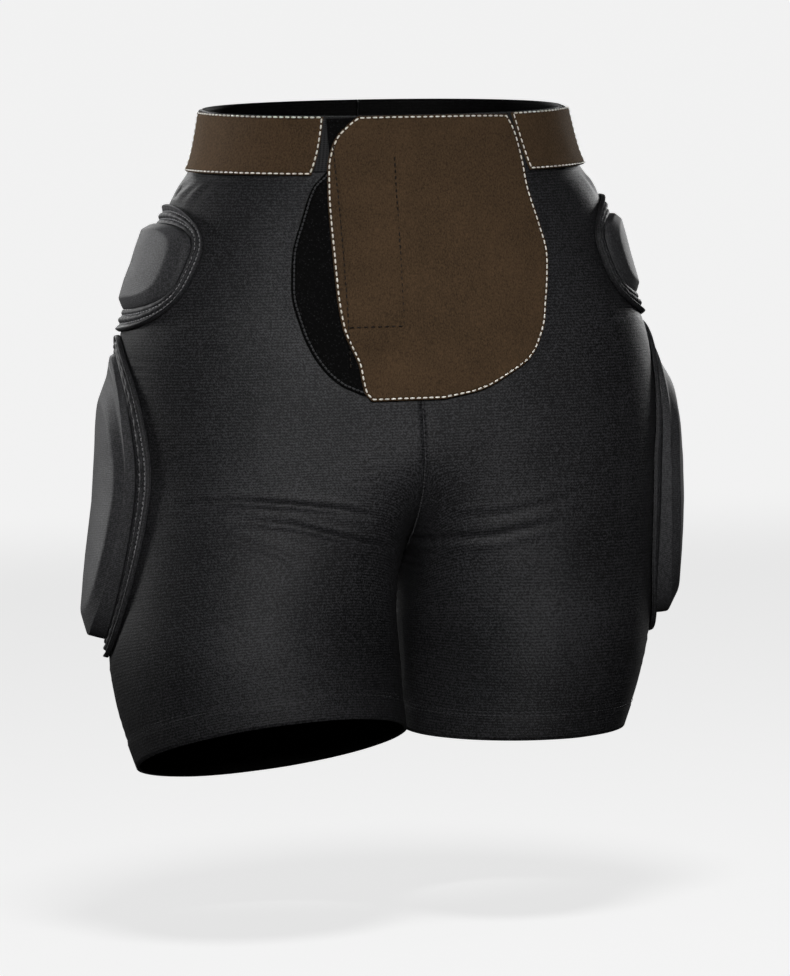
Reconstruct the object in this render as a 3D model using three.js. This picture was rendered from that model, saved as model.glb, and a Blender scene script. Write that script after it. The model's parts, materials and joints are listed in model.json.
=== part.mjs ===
// Padded protective shorts with a fastening belt: two knitted halves sewn along the centre seam, an elastic
// waistband in two halves, two belt wings, a front flap over its loop panel, and moulded foam pads at the hips and thighs.
// Millimetres. +Z is up, the front faces -Y and the wearer's left is +X.
// The origin is the centre of the waist opening.
import * as THREE from 'three';
import { mergeVertices } from 'three/addons/utils/BufferGeometryUtils.js';

// Driving sizes
const WALL = 2.0;              // knitted wall of the shorts
const SEAM_GAP = 0.3;          // between the two halves along the centre seam
const LAY_GAP = 0.9;           // between the shorts and what is sewn flat on them
const LAYER_GAP = 0.6;         // between one sewn layer and the next
const FORK_Z = -226;           // height where the trunk parts into the legs
const BAND_HEIGHT = 37.5;      // elastic waistband
const BAND_THICKNESS = 1.4;
const WING_THICKNESS = 1.8;
const PANEL_THICKNESS = 1.5;
const HOOK_THICKNESS = 1.2;
const FLAP_THICKNESS = 1.9;
const BORDER_THICKNESS = 2.4;  // stitched frame round each pad
const HALF_COLUMNS = 26;       // steps from the front centre to the back centre of one half
const CROTCH_COLUMNS = 10;     // steps along the crotch seam
const CROTCH_SHARE = 50 * Math.PI / 180;   // half of the leg's round that the crotch columns take

// Trunk sections: half width, sway of the middle to the wearer's left, reach to the front and the back, swell
// of the thighs in front and of the seat behind, lift of the back above the front for each millimetre of
// depth, and squareness of the outline.
const TRUNK = [
  { z: 0, halfWidth: 117, sway: 0, front: 87, back: 87, thigh: 0, seat: 0, lift: 0.13, square: 2.15 },
  { z: -38, halfWidth: 125.5, sway: 0, front: 91, back: 93, thigh: 0, seat: 0, lift: 0.10, square: 2.2 },
  { z: -48, halfWidth: 133.5, sway: 0, front: 92.5, back: 96, thigh: 0, seat: 0, lift: 0.09, square: 2.2 },
  { z: -62, halfWidth: 141, sway: -0.5, front: 95, back: 99, thigh: 0, seat: 2, lift: 0.07, square: 2.25 },
  { z: -105, halfWidth: 155.5, sway: -3.5, front: 100, back: 109, thigh: 0, seat: 6, lift: 0.04, square: 2.3 },
  { z: -140, halfWidth: 170.5, sway: -5, front: 103, back: 114, thigh: 0, seat: 10, lift: 0.02, square: 2.3 },
  { z: -180, halfWidth: 174.5, sway: -1.5, front: 104.5, back: 113, thigh: 1, seat: 13, lift: 0.01, square: 2.3 },
  { z: FORK_Z, halfWidth: 176.5, sway: 0, front: 104, back: 104, thigh: 3, seat: 14, lift: 0, square: 2.3 },
];
const TRUNK_ROWS = [0, -20, -38, -48, -60, -78, -98, -118, -138, -156, -174, -192, -209, FORK_Z];

// The crotch seam in the middle plane, from the front fork to the back fork.
const CROTCH = [
  { y: -104, z: FORK_Z },
  { y: -88, z: -250 },
  { y: -55, z: -273 },
  { y: -10, z: -290 },
  { y: 36, z: -288 },
  { y: 76, z: -264 },
  { y: 104, z: FORK_Z },
];

// Leg sections at mid thigh and at the hem. pitch is the climb for each millimetre towards the back, roll
// the climb for each millimetre towards the wearer's left. The right leg is swung a little forward.
const LEG_SECTIONS = {
  right: [
    { z: -336, x: -98.5, y: -12, halfWidth: 94, halfDepth: 97, pitch: -0.17, roll: 0.03 },
    { z: -409.5, x: -90.5, y: -24, halfWidth: 87, halfDepth: 85, pitch: -0.29, roll: 0.07 },
  ],
  left: [
    { z: -336, x: 82.5, y: 0, halfWidth: 84, halfDepth: 93, pitch: -0.02, roll: -0.02 },
    { z: -404.5, x: 73, y: -2, halfWidth: 72.5, halfDepth: 81, pitch: 0.025, roll: -0.01 },
  ],
};
const UPPER_LEG_RINGS = 6;
const LOWER_LEG_RINGS = 3;
const FORK_PULL = 7;           // how strongly the trunk's slope at the fork carries on into the leg
const FORK_STEP = 12;          // height over which that slope is read
const FORK_SPREAD = 45;        // sideways pull beside the middle plane, where the legs part
const CROTCH_SPREAD = 5;       // the same at the lowest point of the crotch seam
const FORK_NEAR = 0.16;        // share of the round from the front or back centre that the pull reaches
const RELAX_PASSES = 8;
const RELAX_TOP = [-235, -205];      // heights over which the evening out of the fork sets in
const RELAX_BOTTOM = [-345, -310];   // and over which it fades

// Creases that the legs press into the front of the fabric: ends in x and z, sag at the middle, depth, width.
const CREASES = [
  { fromX: -146, fromZ: -248, toX: -34, toZ: -260, sag: 3, depth: 2.2, width: 8 },
  { fromX: -112, fromZ: -262, toX: -20, toZ: -282, sag: 3, depth: 2.2, width: 8 },
  { fromX: 4, fromZ: -281, toX: 84, toZ: -270, sag: -4, depth: 1.6, width: 8 },
];

// Straight line, and a cubic through four neighbours, both for tables of sections.
const mix = (a, b, t) => a + (b - a) * t;
const clamp = (v, low, high) => Math.min(high, Math.max(low, v));
const smooth = (low, high, v) => {
  const t = clamp((v - low) / (high - low), 0, 1);
  return t * t * (3 - 2 * t);
};

function readTable(table, key, at, column) {
  let i = 0;
  const falling = table[1][key] < table[0][key];
  while (i < table.length - 2 && (falling ? at < table[i + 1][key] : at > table[i + 1][key])) i += 1;
  const span = table[i + 1][key] - table[i][key];
  const t = clamp((at - table[i][key]) / span, 0, 1);
  const slope = (n) => {
    const before = table[Math.max(n - 1, 0)];
    const after = table[Math.min(n + 1, table.length - 1)];
    return (after[column] - before[column]) / (after[key] - before[key]);
  };
  return hermite(table[i][column], slope(i) * span, table[i + 1][column], slope(i + 1) * span, t);
}

function hermite(p0, m0, p1, m1, t) {
  const t2 = t * t;
  const t3 = t2 * t;
  return (2 * t3 - 3 * t2 + 1) * p0 + (t3 - 2 * t2 + t) * m0 + (3 * t2 - 2 * t3) * p1 + (t3 - t2) * m1;
}

function hermiteVector(p0, m0, p1, m1, t) {
  return new THREE.Vector3(
    hermite(p0.x, m0.x, p1.x, m1.x, t),
    hermite(p0.y, m0.y, p1.y, m1.y, t),
    hermite(p0.z, m0.z, p1.z, m1.z, t),
  );
}

// A point of the trunk on one side (+1 or -1): turn runs from 0 at the front centre to 1 at the back centre.
function trunkPoint(side, turn, z, gap) {
  const read = (column) => readTable(TRUNK, 'z', z, column);
  const angle = Math.PI * turn;
  const power = 2 / read('square');
  const across = Math.pow(Math.max(Math.sin(angle), 0), power);
  const along = Math.pow(Math.abs(Math.cos(angle)), power);
  const bell = (centre, spread) => Math.exp(-(((turn - centre) / spread) ** 2));
  const front = read('front') + read('thigh') * bell(0.24, 0.12);
  const back = read('back') + read('seat') * bell(0.78, 0.13);
  const y = Math.cos(angle) > 0 ? -front * along : back * along;
  const x = side * (gap / 2 + (read('halfWidth') - gap / 2) * across) + read('sway');
  return new THREE.Vector3(x, y, z + read('lift') * y);
}

function crotchPoint(side, share, gap) {
  const curve = new THREE.CatmullRomCurve3(CROTCH.map((p) => new THREE.Vector3(0, p.y, p.z)), false, 'centripetal');
  const point = curve.getPoint(share);
  point.x = side * gap / 2;
  return point;
}

function legPoint(side, section, theta) {
  const dx = -side * section.halfWidth * Math.cos(theta);
  const dy = -section.halfDepth * Math.sin(theta);
  return new THREE.Vector3(section.x + dx, section.y + dy, section.z + section.pitch * dy + section.roll * dx);
}

// Rings of one leg, from the fork down to the hem. Ring 0 is the trunk's last row closed by the crotch seam.
function legRings(side, gap) {
  const [thigh, hem] = LEG_SECTIONS[side > 0 ? 'left' : 'right'];
  const count = HALF_COLUMNS + CROTCH_COLUMNS;
  const rings = Array.from({ length: UPPER_LEG_RINGS + LOWER_LEG_RINGS }, () => []);
  for (let c = 0; c < count; c += 1) {
    const outer = c <= HALF_COLUMNS;
    const turn = Math.min(c / HALF_COLUMNS, 1);
    const share = 1 - (c - HALF_COLUMNS) / CROTCH_COLUMNS;
    const wide = CROTCH_SHARE + (2 * Math.PI - 2 * CROTCH_SHARE) * turn;
    const theta = outer ? wide : -CROTCH_SHARE + 2 * CROTCH_SHARE * (1 - share);
    const top = outer ? trunkPoint(side, turn, FORK_Z, gap) : crotchPoint(side, share, gap);
    const middle = legPoint(side, thigh, theta);
    const bottom = legPoint(side, hem, theta);
    const start = new THREE.Vector3();
    if (outer) {
      // the surface carries on downwards, and near the middle plane it also opens sideways
      start.copy(trunkPoint(side, turn, FORK_Z, gap)).sub(trunkPoint(side, turn, FORK_Z + FORK_STEP, gap));
      start.multiplyScalar(FORK_PULL);
      const near = 1 - smooth(0, FORK_NEAR, Math.min(turn, 1 - turn));
      start.x += side * FORK_SPREAD * near;
      start.z *= 1 - 0.4 * near;
    } else {
      start.x = side * mix(CROTCH_SPREAD, FORK_SPREAD, Math.abs(2 * share - 1) ** 1.5);
    }
    const pass = bottom.clone().sub(top).multiplyScalar(0.5);
    const finish = bottom.clone().sub(middle).multiplyScalar(1.5).addScaledVector(pass, -0.5);
    for (let r = 1; r <= UPPER_LEG_RINGS; r += 1) {
      rings[r - 1].push(hermiteVector(top, start, middle, pass, r / UPPER_LEG_RINGS));
    }
    for (let r = 1; r <= LOWER_LEG_RINGS; r += 1) {
      rings[UPPER_LEG_RINGS + r - 1].push(hermiteVector(middle, pass, bottom, finish, r / LOWER_LEG_RINGS));
    }
  }
  return rings;
}

// The outer skin of one half as vertices and quads: trunk rows, the crotch seam and the leg rings.
function skin(side, gap) {
  const points = [];
  const quads = [];
  const middle = new Set();
  const rows = TRUNK_ROWS.map((z) => Array.from({ length: HALF_COLUMNS + 1 }, (_, c) => {
    points.push(trunkPoint(side, c / HALF_COLUMNS, z, gap));
    if (c === 0 || c === HALF_COLUMNS) middle.add(points.length - 1);
    return points.length - 1;
  }));
  for (let r = 0; r + 1 < rows.length; r += 1) {
    for (let c = 0; c < HALF_COLUMNS; c += 1) {
      quads.push([rows[r][c], rows[r + 1][c], rows[r + 1][c + 1], rows[r][c + 1]]);
    }
  }
  const seam = [];
  for (let k = 1; k < CROTCH_COLUMNS; k += 1) {
    points.push(crotchPoint(side, 1 - k / CROTCH_COLUMNS, gap));
    seam.push(points.length - 1);
    middle.add(points.length - 1);
  }
  let upper = [...rows[rows.length - 1], ...seam];
  const count = upper.length;
  const tubes = legRings(side, gap);
  for (const ring of tubes) {
    const lower = ring.map((p) => {
      points.push(p);
      return points.length - 1;
    });
    for (let c = 0; c < count; c += 1) {
      const next = (c + 1) % count;
      quads.push([upper[c], lower[c], lower[next], upper[next]]);
    }
    upper = lower;
  }
  const hem = upper;
  relax(points, quads, new Set([...middle, ...hem, ...rows[0]]));
  points.forEach(pressCreases);
  // the open edge of the sewn half: waist, back seam, crotch seam, front seam
  const edge = [
    ...rows[0],
    ...rows.slice(1).map((row) => row[HALF_COLUMNS]),
    ...seam,
    ...rows.slice(1).map((row) => row[0]).reverse(),
  ];
  return { points, quads, hem, edge, middle, side };
}

// Evens out the fork, where the trunk's columns turn into the leg's.
function relax(points, quads, held) {
  const near = points.map(() => new Set());
  for (const quad of quads) {
    quad.forEach((a, i) => {
      near[a].add(quad[(i + 1) % 4]);
      near[a].add(quad[(i + 3) % 4]);
    });
  }
  const share = points.map((p, i) => (held.has(i) ? 0
    : 0.5 * (1 - smooth(...RELAX_TOP, p.z)) * smooth(...RELAX_BOTTOM, p.z)));
  for (let pass = 0; pass < RELAX_PASSES; pass += 1) {
    const moved = points.map((p, i) => {
      const mean = new THREE.Vector3();
      near[i].forEach((n) => mean.add(points[n]));
      return p.clone().lerp(mean.divideScalar(near[i].size), share[i]);
    });
    moved.forEach((p, i) => points[i].copy(p));
  }
}

function pressCreases(point) {
  if (point.y > -20) return;
  for (const crease of CREASES) {
    const t = (point.x - crease.fromX) / (crease.toX - crease.fromX);
    if (t < 0 || t > 1) continue;
    const line = mix(crease.fromZ, crease.toZ, t) + crease.sag * 4 * t * (1 - t);
    const fade = Math.sin(Math.PI * clamp(t, 0, 1));
    point.y += crease.depth * fade * Math.exp(-(((point.z - line) / crease.width) ** 2));
  }
}

function geometryOf(points, triangles) {
  const geometry = new THREE.BufferGeometry();
  geometry.setAttribute('position', new THREE.Float32BufferAttribute(points.flatMap((p) => [p.x, p.y, p.z]), 3));
  geometry.setIndex(triangles.flat());
  geometry.computeVertexNormals();
  return geometry;
}

const halves = (quad, flip) => {
  const [a, b, c, d] = flip ? [...quad].reverse() : quad;
  return [[a, b, c], [a, c, d]];
};

// Turns a quad list so that it faces out on the given side.
const facing = (side) => side < 0;

// One sewn half as a closed wall: the skin, the same skin moved inwards, and strips along the open edges.
function shortsHalf(side) {
  const outer = skin(side, SEAM_GAP);
  const flip = facing(side);
  const shell = geometryOf(outer.points, outer.quads.flatMap((quad) => halves(quad, flip)));
  const normals = shell.getAttribute('normal');
  const inner = outer.points.map((p, i) => {
    const normal = new THREE.Vector3().fromBufferAttribute(normals, i);
    if (outer.middle.has(i)) normal.x = 0;
    if (outer.hem.includes(i)) normal.z *= 0.3;
    return p.clone().addScaledVector(normal.normalize(), -WALL);
  });
  const count = outer.points.length;
  const triangles = outer.quads.flatMap((quad) => halves(quad, flip));
  triangles.push(...outer.quads.flatMap((quad) => halves(quad.map((i) => i + count), !flip)));
  const strip = (loop, turned) => {
    loop.forEach((a, i) => {
      const b = loop[(i + 1) % loop.length];
      triangles.push(...halves([a, b, b + count, a + count], turned));
    });
  };
  strip(outer.edge, flip);
  strip(outer.hem, !flip);
  return geometryOf([...outer.points, ...inner], triangles);
}

// The body's form without the seam gap. Everything sewn on is laid on it by rays.
function bodyForm() {
  const parts = [-1, 1].map((side) => skin(side, 0));
  const points = [];
  const triangles = [];
  for (const part of parts) {
    const start = points.length;
    points.push(...part.points);
    const turned = part.quads.flatMap((quad) => halves(quad.map((i) => i + start), facing(part.side)));
    triangles.push(...turned);
  }
  const geometry = geometryOf(points, triangles);
  geometry.deleteAttribute('normal');
  const joined = mergeVertices(geometry, 1e-3);
  joined.computeVertexNormals();
  const form = new THREE.Mesh(joined, new THREE.MeshStandardMaterial({ side: THREE.DoubleSide }));
  form.updateMatrixWorld(true);
  return form;
}

const FORM = bodyForm();
const RAY = new THREE.Raycaster();
const FAR = 400;
const BELT_REACH = 60;          // how far outside the belt line its rays start

// Where a ray first meets the body, with the smooth normal that faces the ray.
function meet(origin, direction) {
  for (const nudge of [0, 0.05, -0.05]) {
    const start = origin.clone().add(new THREE.Vector3(nudge, 0, nudge));
    RAY.set(start, direction);
    const hit = RAY.intersectObject(FORM)[0];
    if (hit) {
      const normal = hit.normal.clone().normalize();
      if (normal.dot(direction) > 0) normal.negate();
      return { point: hit.point.clone(), normal };
    }
  }
  throw new Error(`nothing under ${origin.toArray()}`);
}

const fromFront = (x, z) => meet(new THREE.Vector3(x, -FAR, z), new THREE.Vector3(0, 1, 0));
const fromSide = (side, y, z) => meet(new THREE.Vector3(side * FAR, y, z), new THREE.Vector3(-side, 0, 0));

// A spot of the belt: turn from the front centre round one side, and depth below the waist rim.
function fromBelt(side, turn, depth) {
  const z = -depth;
  const on = trunkPoint(side, turn, z, 0);
  const away = on.clone().setZ(0).normalize();
  return meet(on.clone().addScaledVector(away, BELT_REACH), away.clone().negate());
}

// A closed slab between two heights over a grid of spots. wrap joins the last column to the first, hub is a
// spot that closes the first row to a point, and foot is a coarser grid for the underside.
function slab(spots, below, above, { wrap = false, foot = spots, hub = null, hubAbove = 0 } = {}) {
  const rows = spots.length;
  const columns = spots[0].length;
  const points = [];
  const lift = (spot, height) => points.push(spot.point.clone().addScaledVector(spot.normal, height)) - 1;
  const layer = (grid, height) => grid.map((row, r) => row.map((spot, c) => lift(spot, height(r, c))));
  const top = layer(spots, above);
  const base = layer(foot, below);
  const triangles = [];
  const last = wrap ? columns : columns - 1;
  const cover = (grid, flip) => {
    for (let r = 0; r + 1 < grid.length; r += 1) {
      for (let c = 0; c < last; c += 1) {
        const n = (c + 1) % columns;
        triangles.push(...halves([grid[r][c], grid[r + 1][c], grid[r + 1][n], grid[r][n]], flip));
      }
    }
  };
  cover(top, false);
  cover(base, true);
  const wall = (list, closed) => {
    for (let i = 0; i + (closed ? 0 : 1) < list.length; i += 1) {
      const [a, b] = list[i];
      const [c, d] = list[(i + 1) % list.length];
      triangles.push(...halves([a, b, d, c], false));
    }
  };
  const pair = (r, c) => [top[r][c], base[r === rows - 1 ? base.length - 1 : r][c]];
  const across = (r) => Array.from({ length: columns }, (_, c) => pair(r, c));
  if (hub) {
    const peak = lift(hub, hubAbove);
    const foot = lift(hub, below(0, 0));
    for (let c = 0; c < columns; c += 1) {
      const n = (c + 1) % columns;
      triangles.push([peak, top[0][c], top[0][n]], [foot, base[0][n], base[0][c]]);
    }
    wall(across(rows - 1), true);
  } else if (wrap) {
    wall(across(0).reverse(), true);
    wall(across(rows - 1), true);
  } else {
    const down = (c) => Array.from({ length: rows }, (_, r) => pair(r, c));
    wall([...down(0), ...across(rows - 1).slice(1), ...down(columns - 1).reverse().slice(1),
      ...across(0).reverse().slice(1, -1)], true);
  }
  return outward(geometryOf(points, triangles));
}

// Turns a closed geometry inside out where its volume comes out negative.
function outward(geometry) {
  const position = geometry.getAttribute('position');
  const index = geometry.getIndex();
  const [a, b, c] = [new THREE.Vector3(), new THREE.Vector3(), new THREE.Vector3()];
  let volume = 0;
  for (let i = 0; i < index.count; i += 3) {
    a.fromBufferAttribute(position, index.getX(i));
    b.fromBufferAttribute(position, index.getX(i + 1));
    c.fromBufferAttribute(position, index.getX(i + 2));
    volume += a.dot(b.cross(c));
  }
  if (volume < 0) {
    for (let i = 0; i < index.count; i += 3) {
      const keep = index.getX(i + 1);
      index.setX(i + 1, index.getX(i + 2));
      index.setX(i + 2, keep);
    }
    geometry.computeVertexNormals();
  }
  return geometry;
}

// Waistband: an elastic band under the wings and the flap, in two halves that are joined at the front and back.
const BAND_TOP = 0.8;
const BAND_MIDDLE = 18;
const BAND_COLUMNS = 23;
const BAND_LAY = 0.6;
const BAND_FACE = BAND_LAY + BAND_THICKNESS;
const BAND_JOIN = 0.001;        // turn between the middle plane and a half's end

function waistband(side) {
  const depths = [BAND_TOP, BAND_MIDDLE, BAND_HEIGHT];
  const spots = depths.map((depth) => Array.from({ length: BAND_COLUMNS + 1 }, (_, c) => (
    fromBelt(side, mix(BAND_JOIN, 1 - BAND_JOIN, c / BAND_COLUMNS), depth))));
  return slab(spots, () => BAND_LAY, () => BAND_FACE);
}

// Belt wings: from a slanted front end round to the side.
const WING_TOP = 1.4;
const WING_LAY = BAND_FACE + LAYER_GAP;
const WINGS = {
  right: { side: -1, frontTop: 0.139, frontBottom: 0.146, rear: 0.49, bottom: 40 },
  left: { side: 1, frontTop: 0.181, frontBottom: 0.194, rear: 0.415, bottom: 40 },
};
const WING_COLUMNS = 14;

function beltWing({ side, frontTop, frontBottom, rear, bottom }) {
  const depths = [WING_TOP, 14, 27, bottom];
  const spots = depths.map((depth) => Array.from({ length: WING_COLUMNS + 1 }, (_, c) => {
    const start = mix(frontTop, frontBottom, (depth - WING_TOP) / (bottom - WING_TOP));
    return fromBelt(side, mix(start, rear, c / WING_COLUMNS), depth);
  }));
  return slab(spots, () => WING_LAY, () => WING_LAY + WING_THICKNESS);
}

// Outlines of the front pieces: the left and right edge, as x, at each height.
const PANEL = [
  { z: -12.8, fromX: -51, toX: 58 },
  { z: -44, fromX: -52, toX: 66 },
  { z: -56, fromX: -62.5, toX: 69 },
  { z: -77, fromX: -71, toX: 74 },
  { z: -93, fromX: -76.5, toX: 78 },
  { z: -109, fromX: -78.5, toX: 80 },
  { z: -124, fromX: -79, toX: 79 },
  { z: -138, fromX: -76, toX: 76 },
  { z: -153, fromX: -71, toX: 73 },
  { z: -167, fromX: -63, toX: 63 },
  { z: -178, fromX: -52, toX: 44 },
  { z: -185, fromX: -38, toX: 24 },
];
const FLAP = [
  { z: -12.6, fromX: -32, toX: 61 },
  { z: -17, fromX: -38, toX: 63.5 },
  { z: -25, fromX: -45.5, toX: 67 },
  { z: -39, fromX: -51, toX: 70 },
  { z: -51, fromX: -52.5, toX: 72 },
  { z: -65, fromX: -53.5, toX: 75 },
  { z: -81, fromX: -53.5, toX: 79.5 },
  { z: -98, fromX: -53, toX: 83.5 },
  { z: -114, fromX: -52.5, toX: 83 },
  { z: -130, fromX: -51.5, toX: 81 },
  { z: -147, fromX: -48.5, toX: 78 },
  { z: -165, fromX: -41, toX: 68.5 },
  { z: -176, fromX: -39, toX: 52 },
  { z: -184, fromX: -37, toX: 35 },
  { z: -188.5, fromX: -33, toX: 12 },
];
const HOOK = { fromX: -46, toX: -12, fromZ: -36, toZ: -143 };
const PANEL_ROWS = 11;
const PANEL_COLUMNS = 9;
const FLAP_ROWS = 15;
const FLAP_COLUMNS = 11;
const HOOK_ROWS = 9;
const HOOK_COLUMNS = 4;

// Everything in front lies on the waistband at the top and on the shorts below it.
const frontLay = (z) => mix(LAY_GAP, BAND_FACE + LAYER_GAP, smooth(-62, -44, z));
const overPanel = (z) => frontLay(z) + PANEL_THICKNESS + LAYER_GAP;
const FLAP_EASE = 9;            // the flap climbs onto the hook strip over this length, outside the strip
const CLEAR = 8;
const within = (from, to, v) => smooth(from - CLEAR - FLAP_EASE, from - CLEAR, v)
  * (1 - smooth(to + CLEAR, to + CLEAR + FLAP_EASE, v));
const onHook = (x, z) => within(HOOK.fromX, HOOK.toX, x) * within(HOOK.toZ, HOOK.fromZ, z);

function frontSpots(table, rowCount, columnCount) {
  const first = table[0].z;
  const bottom = table[table.length - 1].z;
  return Array.from({ length: rowCount + 1 }, (_, r) => {
    const z = mix(first, bottom, r / rowCount);
    const fromX = readTable(table, 'z', z, 'fromX');
    const toX = readTable(table, 'z', z, 'toX');
    return Array.from({ length: columnCount + 1 }, (_, c) => fromFront(mix(fromX, toX, c / columnCount), z));
  });
}

function loopPanel() {
  const spots = frontSpots(PANEL, PANEL_ROWS, PANEL_COLUMNS);
  const lay = (r, c) => frontLay(spots[r][c].point.z);
  return slab(spots, lay, (r, c) => lay(r, c) + PANEL_THICKNESS);
}

function hookStrip() {
  const spots = Array.from({ length: HOOK_ROWS + 1 }, (_, r) => (
    Array.from({ length: HOOK_COLUMNS + 1 }, (_, c) => (
      fromFront(mix(HOOK.fromX, HOOK.toX, c / HOOK_COLUMNS), mix(HOOK.fromZ, HOOK.toZ, r / HOOK_ROWS))))));
  const lay = (r, c) => overPanel(spots[r][c].point.z);
  return slab(spots, lay, (r, c) => lay(r, c) + HOOK_THICKNESS);
}

function frontFlap() {
  const spots = frontSpots(FLAP, FLAP_ROWS, FLAP_COLUMNS);
  const lay = (r, c) => {
    const { x, z } = spots[r][c].point;
    return overPanel(z) + (HOOK_THICKNESS + LAYER_GAP) * onHook(x, z);
  };
  return slab(spots, lay, (r, c) => lay(r, c) + FLAP_THICKNESS);
}

// Pads: rounded outlines about a centre on the side of the body. top and bottom are the squareness of the
// outline's upper and lower half, which a ring may state for itself. Each ring has half sizes along the body's
// depth and height, a shift of its centre to the back and up, how far it stands off the fabric, and how much
// more of that it gains for each millimetre towards the back. stand is the share of the rise that the pad on
// each side has, and tilt what the rings above the foot gain for each millimetre upwards.
const HIP_PAD = {
  y: 6, z: -100, top: 3.2, bottom: 4.4, steps: 32, feet: 4, tilt: 0.06,
  stand: { right: 1, left: 0.85 },
  border: [
    { halfDepth: 67.5, halfHeight: 40, top: 2.3, bottom: 3.4 },
    { halfDepth: 64, halfHeight: 33.5, top: 2.7, bottom: 3.9 },
    { halfDepth: 60.5, halfHeight: 27 },
  ],
  rings: [
    { halfDepth: 60, halfHeight: 26.5, rise: 2.6 },
    { halfDepth: 58.6, halfHeight: 25.8, rise: 5.5 },
    { halfDepth: 51, halfHeight: 21.5, rise: 9.6 },
    { halfDepth: 26, halfHeight: 10, rise: 10.4 },
  ],
  crown: 10.6,
};
const THIGH_PAD = {
  y: 8, z: -245, top: 2.1, bottom: 3.0, steps: 36, feet: 3, tilt: -0.04,
  stand: { right: 1, left: 1 },
  border: [
    { halfDepth: 55, halfHeight: 103 },
    { halfDepth: 48, halfHeight: 97.5 },
    { halfDepth: 41.5, halfHeight: 92 },
  ],
  rings: [
    { halfDepth: 41, halfHeight: 91.5, rise: 2.8 },
    { halfDepth: 39.5, halfHeight: 89.5, rise: 10 },
    { halfDepth: 37, halfHeight: 83, back: -1.5, up: -5, rise: 11.5, lean: 0.04 },
    { halfDepth: 32, halfHeight: 69, back: -3.5, up: -7, rise: 17.3, lean: 0.08 },
    { halfDepth: 16, halfHeight: 36, back: -2, up: -5, rise: 19.6, lean: 0.06 },
  ],
  crown: 20.3,
};

// The outline of one ring about its centre, in even steps of its length.
const OUTLINE_SAMPLES = 240;

function ringOutline(pad, ring) {
  const fine = Array.from({ length: OUTLINE_SAMPLES + 1 }, (_, i) => {
    const angle = 2 * Math.PI * i / OUTLINE_SAMPLES;
    const square = Math.sin(angle) > 0 ? ring.top ?? pad.top : ring.bottom ?? pad.bottom;
    const bend = (v) => Math.sign(v) * Math.abs(v) ** (2 / square);
    return new THREE.Vector3(ring.halfDepth * bend(Math.cos(angle)), ring.halfHeight * bend(Math.sin(angle)), 0);
  });
  const lengths = [0];
  fine.slice(1).forEach((p, i) => lengths.push(lengths[i] + p.distanceTo(fine[i])));
  return Array.from({ length: pad.steps }, (_, s) => {
    const at = lengths[OUTLINE_SAMPLES] * s / pad.steps;
    const i = Math.max(lengths.findIndex((l) => l > at), 1);
    return fine[i - 1].clone().lerp(fine[i], (at - lengths[i - 1]) / (lengths[i] - lengths[i - 1]));
  });
}

const padRing = (pad, side, ring) => ringOutline(pad, ring).map((p) => (
  fromSide(side, pad.y + (ring.back ?? 0) + p.x, pad.z + (ring.up ?? 0) + p.y)));

const padSpots = (pad, side, rings) => rings.map((ring) => padRing(pad, side, ring));

function padBorder(pad, side) {
  const spots = padSpots(pad, side, pad.border);
  const face = (r) => LAY_GAP + BORDER_THICKNESS * (0.8 + 0.2 * r);
  return slab(spots, () => LAY_GAP, face, { wrap: true });
}

function padBlock(pad, side) {
  const rings = [...pad.rings].reverse();
  const spots = padSpots(pad, side, rings);
  const foot = Array.from({ length: pad.feet }, (_, f) => {
    const share = (f + 1) / pad.feet;
    const { halfDepth, halfHeight } = pad.rings[0];
    return padRing(pad, side, { halfDepth: halfDepth * share, halfHeight: halfHeight * share });
  });
  const word = side > 0 ? 'left' : 'right';
  const face = (r, c) => {
    const { y, z } = spots[r][c].point;
    const tilt = rings[r] === pad.rings[0] ? 0 : pad.tilt * (z - pad.z);
    return rings[r].rise * pad.stand[word] + (rings[r].lean ?? 0) * (y - pad.y) + tilt;
  };
  const hub = fromSide(side, pad.y + (rings[0].back ?? 0), pad.z + (rings[0].up ?? 0));
  return slab(spots, () => LAY_GAP, face, { wrap: true, foot, hub, hubAbove: pad.crown * pad.stand[word] });
}

// Materials
const finish = (color, roughness) => new THREE.MeshStandardMaterial({ color, roughness, metalness: 0 });
const KNIT = finish('#1d1d1f', 0.85);
const ELASTIC = finish('#18181a', 0.8);
const PLUSH = finish('#141414', 1.0);
const HOOKS = finish('#101010', 0.7);
const FLEECE = finish('#3d2f22', 0.95);
const PAD_FABRIC = finish('#232325', 0.8);
const BORDER_FABRIC = finish('#1b1b1d', 0.85);

function piece(name, geometry, material) {
  const mesh = new THREE.Mesh(geometry, material);
  mesh.name = name;
  return mesh;
}

const shorts = new THREE.Group();
const SIDES = { right: -1, left: 1 };
for (const [word, side] of Object.entries(SIDES)) {
  shorts.add(piece(`shorts_${word}`, shortsHalf(side), KNIT));
  shorts.add(piece(`waistband_${word}`, waistband(side), ELASTIC));
  shorts.add(piece(`belt_wing_${word}`, beltWing(WINGS[word]), FLEECE));
  shorts.add(piece(`hip_pad_border_${word}`, padBorder(HIP_PAD, side), BORDER_FABRIC));
  shorts.add(piece(`hip_pad_${word}`, padBlock(HIP_PAD, side), PAD_FABRIC));
  shorts.add(piece(`thigh_pad_border_${word}`, padBorder(THIGH_PAD, side), BORDER_FABRIC));
  shorts.add(piece(`thigh_pad_${word}`, padBlock(THIGH_PAD, side), PAD_FABRIC));
}
shorts.add(piece('loop_panel', loopPanel(), PLUSH));
shorts.add(piece('hook_strip', hookStrip(), HOOKS));
shorts.add(piece('front_flap', frontFlap(), FLEECE));

export default shorts;
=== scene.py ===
# Padded protective shorts with a fastening belt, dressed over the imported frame.
# The making functions work in millimetres and makeObject turns them to metres.
# +Z is up, the front faces -Y and the wearer's left is +X.
import json
import math

import bpy
from mathutils import Matrix, Vector, noise
from mathutils.bvhtree import BVHTree
from mathutils.interpolate import poly_3d_calc

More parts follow.
